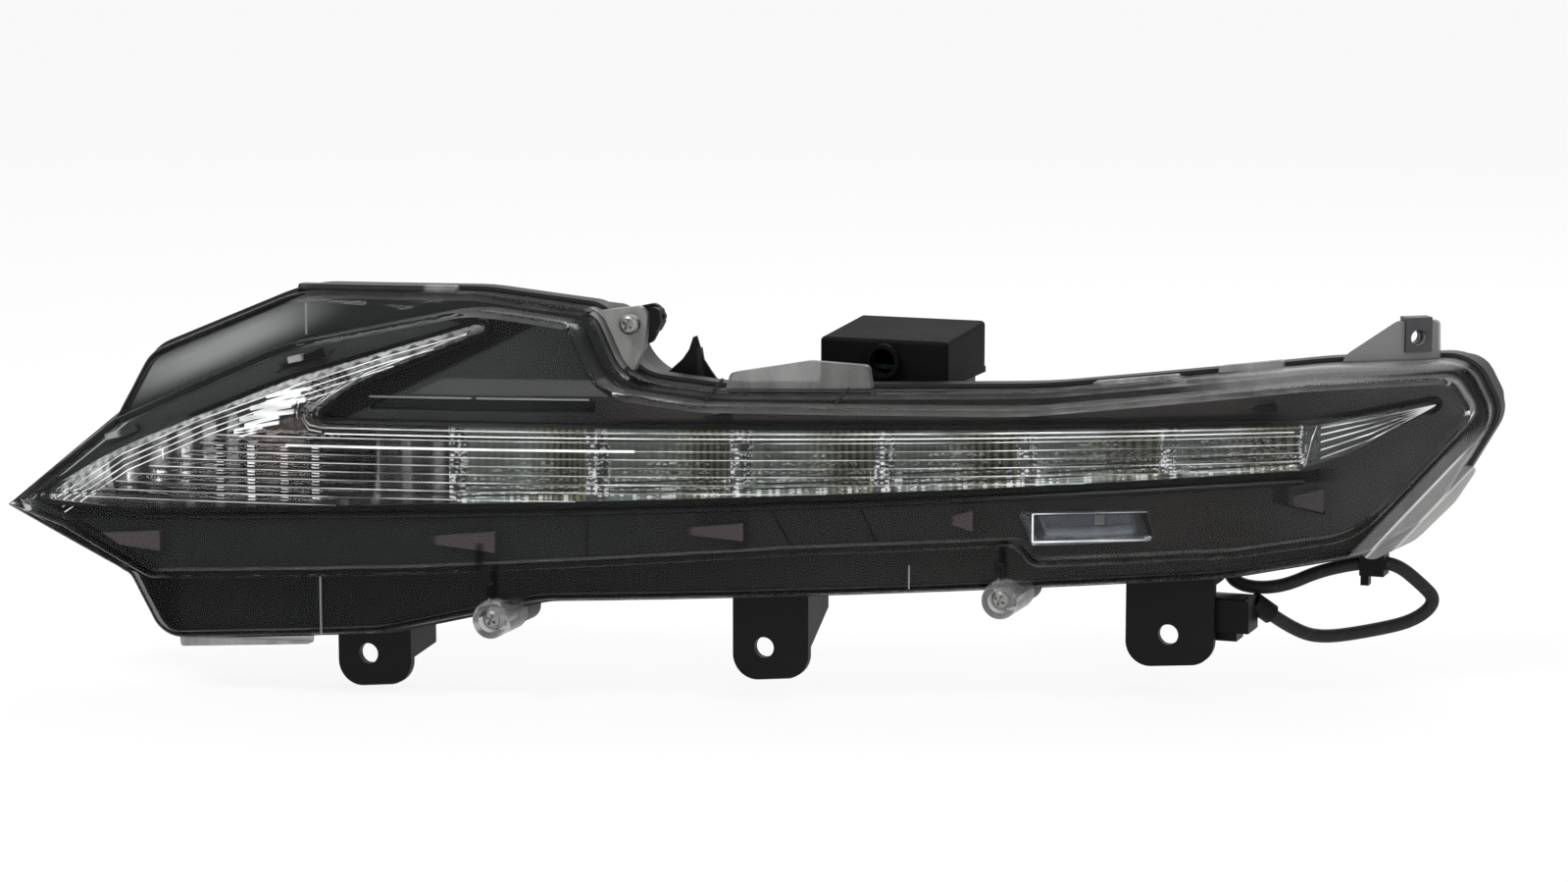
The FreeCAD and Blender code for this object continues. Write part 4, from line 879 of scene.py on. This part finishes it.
def bend_glints(bright):
    """Painted glint strips where the arm leaves the bar, short and long in turn, and rows of painted sparks
    below them.
    """
    strips = bmesh.new()
    middle = (BEND_GLINT_COUNT - 1) / 2
    for k in range(BEND_GLINT_COUNT):
        x, z = [first + step * k for first, step in zip(BEND_GLINT_FIRST, BEND_GLINT_STEP)]
        fullness = 1 - ((k - middle) / (middle + 1)) ** 2
        half = BEND_GLINT_HALF * math.sqrt(fullness) * BEND_GLINT_LENGTHS[k % 2]
        side = BEND_GLINT_SIDE + BEND_GLINT_SWELL * fullness
        places = [(x + half * turn, z + height) for turn, height in zip((-1, 0, 1), BEND_GLINT_HEIGHTS)]
        skin_path(strips, square(side), places, BEND_GLINT_DEPTH, 4)
    for x, height in SPARK_ROWS:
        for k in SPARK_GAPS:
            z = FLUTE_TOP_Z - FLUTE_PITCH * (k + 0.5)
            add_box(strips, on_skin(x, z, BEND_GLINT_DEPTH), SPARK_WIDTH, SPARK_THICKNESS, height)
    new_piece("bend_glints", strips, bright)


def notch_rim(bright):
    """Painted highlights on two edges of the clear cover round the notch, the outer one going on along the
    bar.
    """
    rim = bmesh.new()
    skin_path(rim, square(NOTCH_RIM_SIDE), NOTCH_RIM, NOTCH_RIM_DEPTH, 6)
    inner = [(x + NOTCH_INNER_ARM[0], z + NOTCH_INNER_ARM[1]) for x, z in NOTCH_RIM[2:6]]
    inner += [(x + NOTCH_INNER_BAR[0], z + NOTCH_INNER_BAR[1]) for x, z in NOTCH_RIM[6:]]
    skin_path(rim, square(NOTCH_INNER_SIDE), inner, NOTCH_RIM_DEPTH, 6)
    end = (BAR_RIGHT_X, BAR_TOP_Z - NOTCH_RIM_DROP)
    skin_sweep(rim, square(NOTCH_RIM_SIDE), NOTCH_RIM[-1], end, NOTCH_RIM_DEPTH)
    new_piece("notch_rim", rim, bright)


def blade_ridges(bright):
    """Painted highlights on the ridges that run together at the end blade's tip, and on the joint before
    them.
    """
    ridges = bmesh.new()
    tip_x, tip_z = BLADE_TIP
    spread_x, spread_z = BLADE_TIP_SPREAD
    first_share, more_share = BLADE_MIDDLE_SHARES
    for k, z in enumerate(BLADE_STARTS):
        rise = k / (len(BLADE_STARTS) - 1)
        middle = (BLADE_MIDDLE_X, z + (tip_z - z) * (first_share + more_share * rise))
        end = (tip_x - spread_x * (1 - rise), tip_z - spread_z * (1 - rise))
        skin_path(ridges, square(BLADE_RIDGE_SIDE), [(BLADE_START_X, z), middle, end], FLUTE_CREST_DEPTH, 12)
    skin_path(ridges, square(BLADE_JOINT_SIDE), BLADE_JOINT, BLADE_JOINT_DEPTH, 4)
    new_piece("blade_ridges", ridges, bright)


def skin_plates(name, outlines, depth, wall, material):
    """Thin plates that lie on the skin inside (x, z) outlines."""
    plates = bmesh.new()
    for outline in outlines:
        plates.faces.new([plates.verts.new((x, skin_y(x, depth), z)) for x, z in outline])
    bmesh.ops.recalc_face_normals(plates, faces=plates.faces)
    bmesh.ops.solidify(plates, geom=plates.faces[:], thickness=wall)
    new_piece(name, plates, material)


def notch_ledge(grey):
    """Pale ledge across the notch, in two lengths."""
    ledge = bmesh.new()
    for left, right in NOTCH_LEDGE:
        skin_sweep(ledge, square(NOTCH_LEDGE_SIDE), (left, NOTCH_LEDGE_Z), (right, NOTCH_LEDGE_Z),
                   NOTCH_LEDGE_DEPTH, 20)
    new_piece("notch_ledge", ledge, grey)


def tab_struts(dark):
    """Thin slanted struts in front of the middle tab's ends."""
    struts = bmesh.new()
    for (x, z), (end_x, end_z) in TAB_STRUTS:
        middle = on_skin((x + end_x) / 2, (z + end_z) / 2, LOBE_STEP, TAB_STRUT_PROUD)
        lean = Matrix.Rotation(-math.atan2(end_z - z, end_x - x), 4, "Y")
        add_box(struts, middle @ lean, math.hypot(end_x - x, end_z - z), *TAB_STRUT_SECTION)
    new_piece("tab_struts", struts, dark)


def lens_ribs(pale):
    """Thin pale ribs on the lens lobes."""
    ribs = bmesh.new()
    for x, low, high in LENS_RIBS:
        add_box(ribs, on_skin(x, (low + high) / 2, LOBE_STEP, LENS_RIB_PROUD), *LENS_RIB_SECTION, high - low)
    new_piece("lens_ribs", ribs, pale)


def slot_stops(pale):
    """Small pale stops in the bezel's slots."""
    stops = bmesh.new()
    lean = Matrix.Rotation(SLOT_STOP_LEAN, 4, "Y")
    for x, z in SLOT_STOPS:
        add_box(stops, on_skin(x, z, BEZEL_DEPTH, SLOT_STOP_PROUD) @ lean, *SLOT_STOP_SIZE)
    new_piece("slot_stops", stops, pale)


def corner_frame(bright):
    """Painted highlights on the left, lower and upper edges inside the corner window."""
    lines = bmesh.new()
    low, high = [z for z, side in CORNER_FRAME_LINES]
    add_box(lines, on_skin(CORNER_FRAME_X, (low + high) / 2, CORNER_LENS_DEPTH), *CORNER_POST, high - low)
    for z, side in CORNER_FRAME_LINES:
        skin_sweep(lines, square(side), (CORNER_FRAME_X, z), (CORNER_FRAME_RIGHT, z), CORNER_LENS_DEPTH, 12)
    new_piece("corner_frame", lines, bright)


def screw_domes(material):
    """Domed heads with a cross recess, on the screws that show."""
    places = [(x, skin_y(x, EAR_SEAT_DEPTH) + EAR_BORE - SCREW_HEAD_HEIGHT, z) for x, z in LENS_SCREWS]
    tab_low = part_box("tab_screw")[0]
    places.append((TAB_SCREW[0], tab_low.y, TAB_SCREW[1]))
    heads = bmesh.new()
    cross = bmesh.new()
    forward = Matrix.Rotation(math.radians(90), 4, "X")
    for x, y, z in places:
        front = y - SCREW_DOME
        middle = Matrix.Translation((x, y - SCREW_DOME / 2, z))
        made = bmesh.ops.create_cone(heads, cap_ends=True, segments=28, radius1=SCREW_HEAD_RADIUS,
                                     radius2=SCREW_CROWN_RADIUS, depth=SCREW_DOME, matrix=middle @ forward)
        crown = {edge for vertex in made["verts"] for edge in vertex.link_edges
                 if all(abs(end.co.y - front) < SAME_PLACE for end in edge.verts)}
        bmesh.ops.bevel(heads, geom=list(crown), offset=SCREW_ROUND, segments=3, profile=0.5,
                        affect="EDGES", material=-1)
        for turn in (RECESS_TURN, RECESS_TURN + math.pi / 2):
            place = Matrix.Translation((x, front, z)) @ Matrix.Rotation(turn, 4, "Y")
            add_box(cross, place, RECESS_LENGTH, 2 * RECESS_DEPTH, RECESS_WIDTH)
    piece = new_piece("screw_domes", heads, material)
    cutter_mesh = bpy.data.meshes.new("cross")
    cross.to_mesh(cutter_mesh)
    cross.free()
    cutter = bpy.data.objects.new("cross", cutter_mesh)
    scene.collection.objects.link(cutter)
    carve = piece.modifiers.new("carve", "BOOLEAN")
    carve.object = cutter
    carve.solver = "EXACT"
    carve.use_self = True
    cut = bpy.data.meshes.new_from_object(piece.evaluated_get(bpy.context.evaluated_depsgraph_get()))
    piece.modifiers.clear()
    piece.data = cut
    bpy.data.objects.remove(cutter)


def lay_cable(material):
    """Taped cable on the route that the solid follows."""
    curve = bpy.data.curves.new("harness_cord", "CURVE")
    curve.dimensions = "3D"
    curve.bevel_depth = CABLE_DIAMETER / 2
    curve.bevel_resolution = 4
    curve.resolution_u = 16
    curve.use_fill_caps = True
    spline = curve.splines.new("NURBS")
    spline.points.add(len(CABLE_ROUTE) - 1)
    for point, place in zip(spline.points, CABLE_ROUTE):
        point.co = (*place, 1)
    spline.order_u = 3
    spline.use_endpoint_u = True
    curve.materials.append(material)
    cord = bpy.data.objects.new("harness_cord", curve)
    scene.collection.objects.link(cord)
    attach(cord, "root")
    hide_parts("harness_cable")


def lay_floor():
    """Pale floor that fades to white for the camera and in reflections, and keeps the lamp's shadow."""
    low, high = cad_box
    floor_mesh = bpy.data.meshes.new("floor")
    shape = bmesh.new()
    bmesh.ops.create_grid(shape, x_segments=1, y_segments=1, size=FLOOR_SIZE,
                          matrix=Matrix.Translation((0, 0, low.z)))
    shape.to_mesh(floor_mesh)
    shape.free()
    floor = bpy.data.objects.new("floor", floor_mesh)
    scene.collection.objects.link(floor)
    material = bpy.data.materials.new("floor white")
    material.use_nodes = True
    tree = material.node_tree
    shade = Shade(tree)
    shader = tree.nodes["Principled BSDF"]
    shader.inputs["Base Color"].default_value = FLOOR_COLOUR
    shader.inputs["Roughness"].default_value = FLOOR_ROUGHNESS
    seen = sum(shade.node("ShaderNodeLightPath", output=name)
               for name in ("Is Camera Ray", "Is Glossy Ray", "Is Transmission Ray"))
    white = shade.node("ShaderNodeEmission", Color=(1, 1, 1, 1), Strength=1.0)
    lit = Shade(tree, shader.outputs[0])
    both = shade.node("ShaderNodeMixShader", _0=seen.capped() * FLOOR_WHITE_SHARE, _1=lit, _2=white)
    tree.links.new(both.socket, tree.nodes["Material Output"].inputs["Surface"])
    floor_mesh.materials.append(material)


def light_world():
    """White backdrop, and a soft studio light that comes from above and behind."""
    world = bpy.data.worlds.new("studio")
    world.use_nodes = True
    scene.world = world
    sky = Shade(world.node_tree)
    camera_ray = sky.node("ShaderNodeLightPath", output="Is Camera Ray")
    through = sky.node("ShaderNodeLightPath", output="Is Transmission Ray")
    direction = sky.node("ShaderNodeTexCoord", output=0)
    behind = sky.node("ShaderNodeSeparateXYZ", output=1, _0=direction)
    height = sky.node("ShaderNodeSeparateXYZ", output=2, _0=direction)
    studio = (behind.above(0.0, 0.5) * 0.6 + height.above(0.35, 0.5) * 0.4).mixed(STUDIO_DARK, STUDIO_PALE)
    shown = (camera_ray + through * behind.above(0.0, 0.2)).capped()
    background = world.node_tree.nodes["Background"]
    world.node_tree.links.new(shown.mixed(studio, (1, 1, 1)).socket, background.inputs["Color"])
    background.inputs["Strength"].default_value = 1.0


def hang_lamps():
    """Soft square lamps turned to the object."""
    for name, place, size, power in STUDIO_LAMPS:
        lamp = bpy.data.lights.new(name, "AREA")
        lamp.size = size
        lamp.energy = power
        holder = bpy.data.objects.new(name, lamp)
        holder.location = place
        holder.rotation_euler = (CAMERA_TARGET - Vector(place)).to_track_quat("-Z", "Y").to_euler()
        scene.collection.objects.link(holder)


def paint(material, slot, *nodes):
    """Gives CAD nodes their finish."""
    for name in nodes:
        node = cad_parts[name]
        node.data.materials.clear()
        node.data.materials.append(material)


def paint_lenses_and_shells():
    """Finishes of the lenses, the housing, the bezel and the reflectors."""
    paint(clear_shell(), "clear_lens", "outer_lens")
    paint(clear("fluted lens", (0.96, 0.97, 0.96), 0.01), "clear_lens", "inner_lens", "end_blade")
    paint(clear("corner window", (0.95, 0.97, 0.99), 0.02), "clear_lens", "corner_lens")
    paint(moulded("housing black", (0.014, 0.014, 0.0145), 0.48, gloss=0.3), "housing_plastic",
          "rear_housing")
    paint(bezel_grey(), "bezel_plastic", "front_bezel")
    paint(bright_bowl(), "bright_coat", "drl_reflector")
    paint(bright_turn(), "bright_coat", "turn_reflector")
    paint(bright_corner(), "bright_coat", "corner_reflector")


def paint_electrics():
    """Finishes of the boards, the LEDs, the heat sink and the bulb."""
    paint(circuit("white board", (0.70, 0.71, 0.68), (0.85, 0.86, 0.84)), "led_board",
          "drl_led_board", "corner_led_board")
    paint(circuit("green board", (0.006, 0.035, 0.014), (0.02, 0.09, 0.035)), "driver_circuit",
          "driver_board")
    paint(led_phosphor("led phosphor", (0.24, 0.22, 0.08), (0.42, 0.40, 0.20)), "led_phosphor", "drl_leds")
    paint(led_phosphor("corner phosphor", (0.16, 0.16, 0.14), (0.30, 0.30, 0.27)), "led_phosphor",
          "corner_led")
    paint(steel("sink aluminium", (0.66, 0.67, 0.68), 0.35), "heat_sink_metal", "drl_heat_sink")
    paint(amber_glass(), "amber_glass", "turn_bulb")


def paint_fittings():
    """Finishes of the clips, the brackets, the driver box, the seals and the screws."""
    paint(moulded("clip black", (0.003, 0.003, 0.0035), 0.42), "black_plastic", "bulb_socket",
          "harness_connector", "harness_clip", "tab_clip", "breather_cap")
    paint(moulded("bracket black", (0.004, 0.004, 0.0045), 0.46, gloss=0.18), "bracket_plastic",
          "bracket_left", "bracket_centre", "bracket_right")
    paint(moulded("driver black", (0.0045, 0.0045, 0.005), 0.5, gloss=0.03), "driver_plastic",
          "driver_case", "driver_base")
    paint(moulded("seal rubber", (0.020, 0.020, 0.020), 0.7, grain=900.0), "seal_rubber",
          "lens_seal", "socket_seal", "harness_grommet")
    zinc = steel("zinc plate", (0.36, 0.36, 0.355), 0.3)
    paint(zinc, "screw_steel", "lens_screws", "bracket_screws", "tab_screw")
    screw_domes(zinc)
    paint(steel("dark spring steel", (0.10, 0.10, 0.105), 0.4), "spring_steel", "corner_nut_clip")


def light_through_lenses():
    """The clear nodes cast no shadow, so that the lamps light what lies behind them."""
    for name in ("outer_lens", "inner_lens", "end_blade", "corner_lens", "turn_bulb"):
        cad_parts[name].visible_shadow = False


place_camera()
lay_cable(wound_tape())
lay_floor()
light_world()
hang_lamps()
paint_lenses_and_shells()
paint_electrics()
paint_fittings()
light_through_lenses()

# Materials of painted highlights, for the bright lines and strips below
edge_glint = glint_line()
strong_glint = glint_line(0.55)
pale_stop = moulded("pale stop", (0.20, 0.20, 0.195), 0.35)
bar_lines(strong_glint)
bar_sill(moulded("sill black", (0.004, 0.004, 0.004), 0.16))
arm_steps(strong_glint)
lens_ribs(pale_stop)
slot_stops(pale_stop)
flute_glints(edge_glint)
flute_shades(moulded("flute shade", (0.012, 0.013, 0.012), 0.4))
bend_glints(strong_glint)
notch_rim(edge_glint)
blade_ridges(edge_glint)
corner_frame(edge_glint)
skin_plates("fin_web", [FIN_WEB], FIN_DEPTH, FIN_WALL, moulded("fin black", (0.004, 0.004, 0.004), 0.45))
# Black plates of painted shade in the slots beside the bezel's hooks
skin_plates("hook_slots", HOOK_SLOTS, BEZEL_DEPTH, HOOK_SLOT_WALL, moulded("slot black", BLACK, 0.5))
notch_ledge(moulded("ledge grey", (0.16, 0.16, 0.16), 0.3))
tab_struts(moulded("strut brown", (0.024, 0.021, 0.020), 0.35))
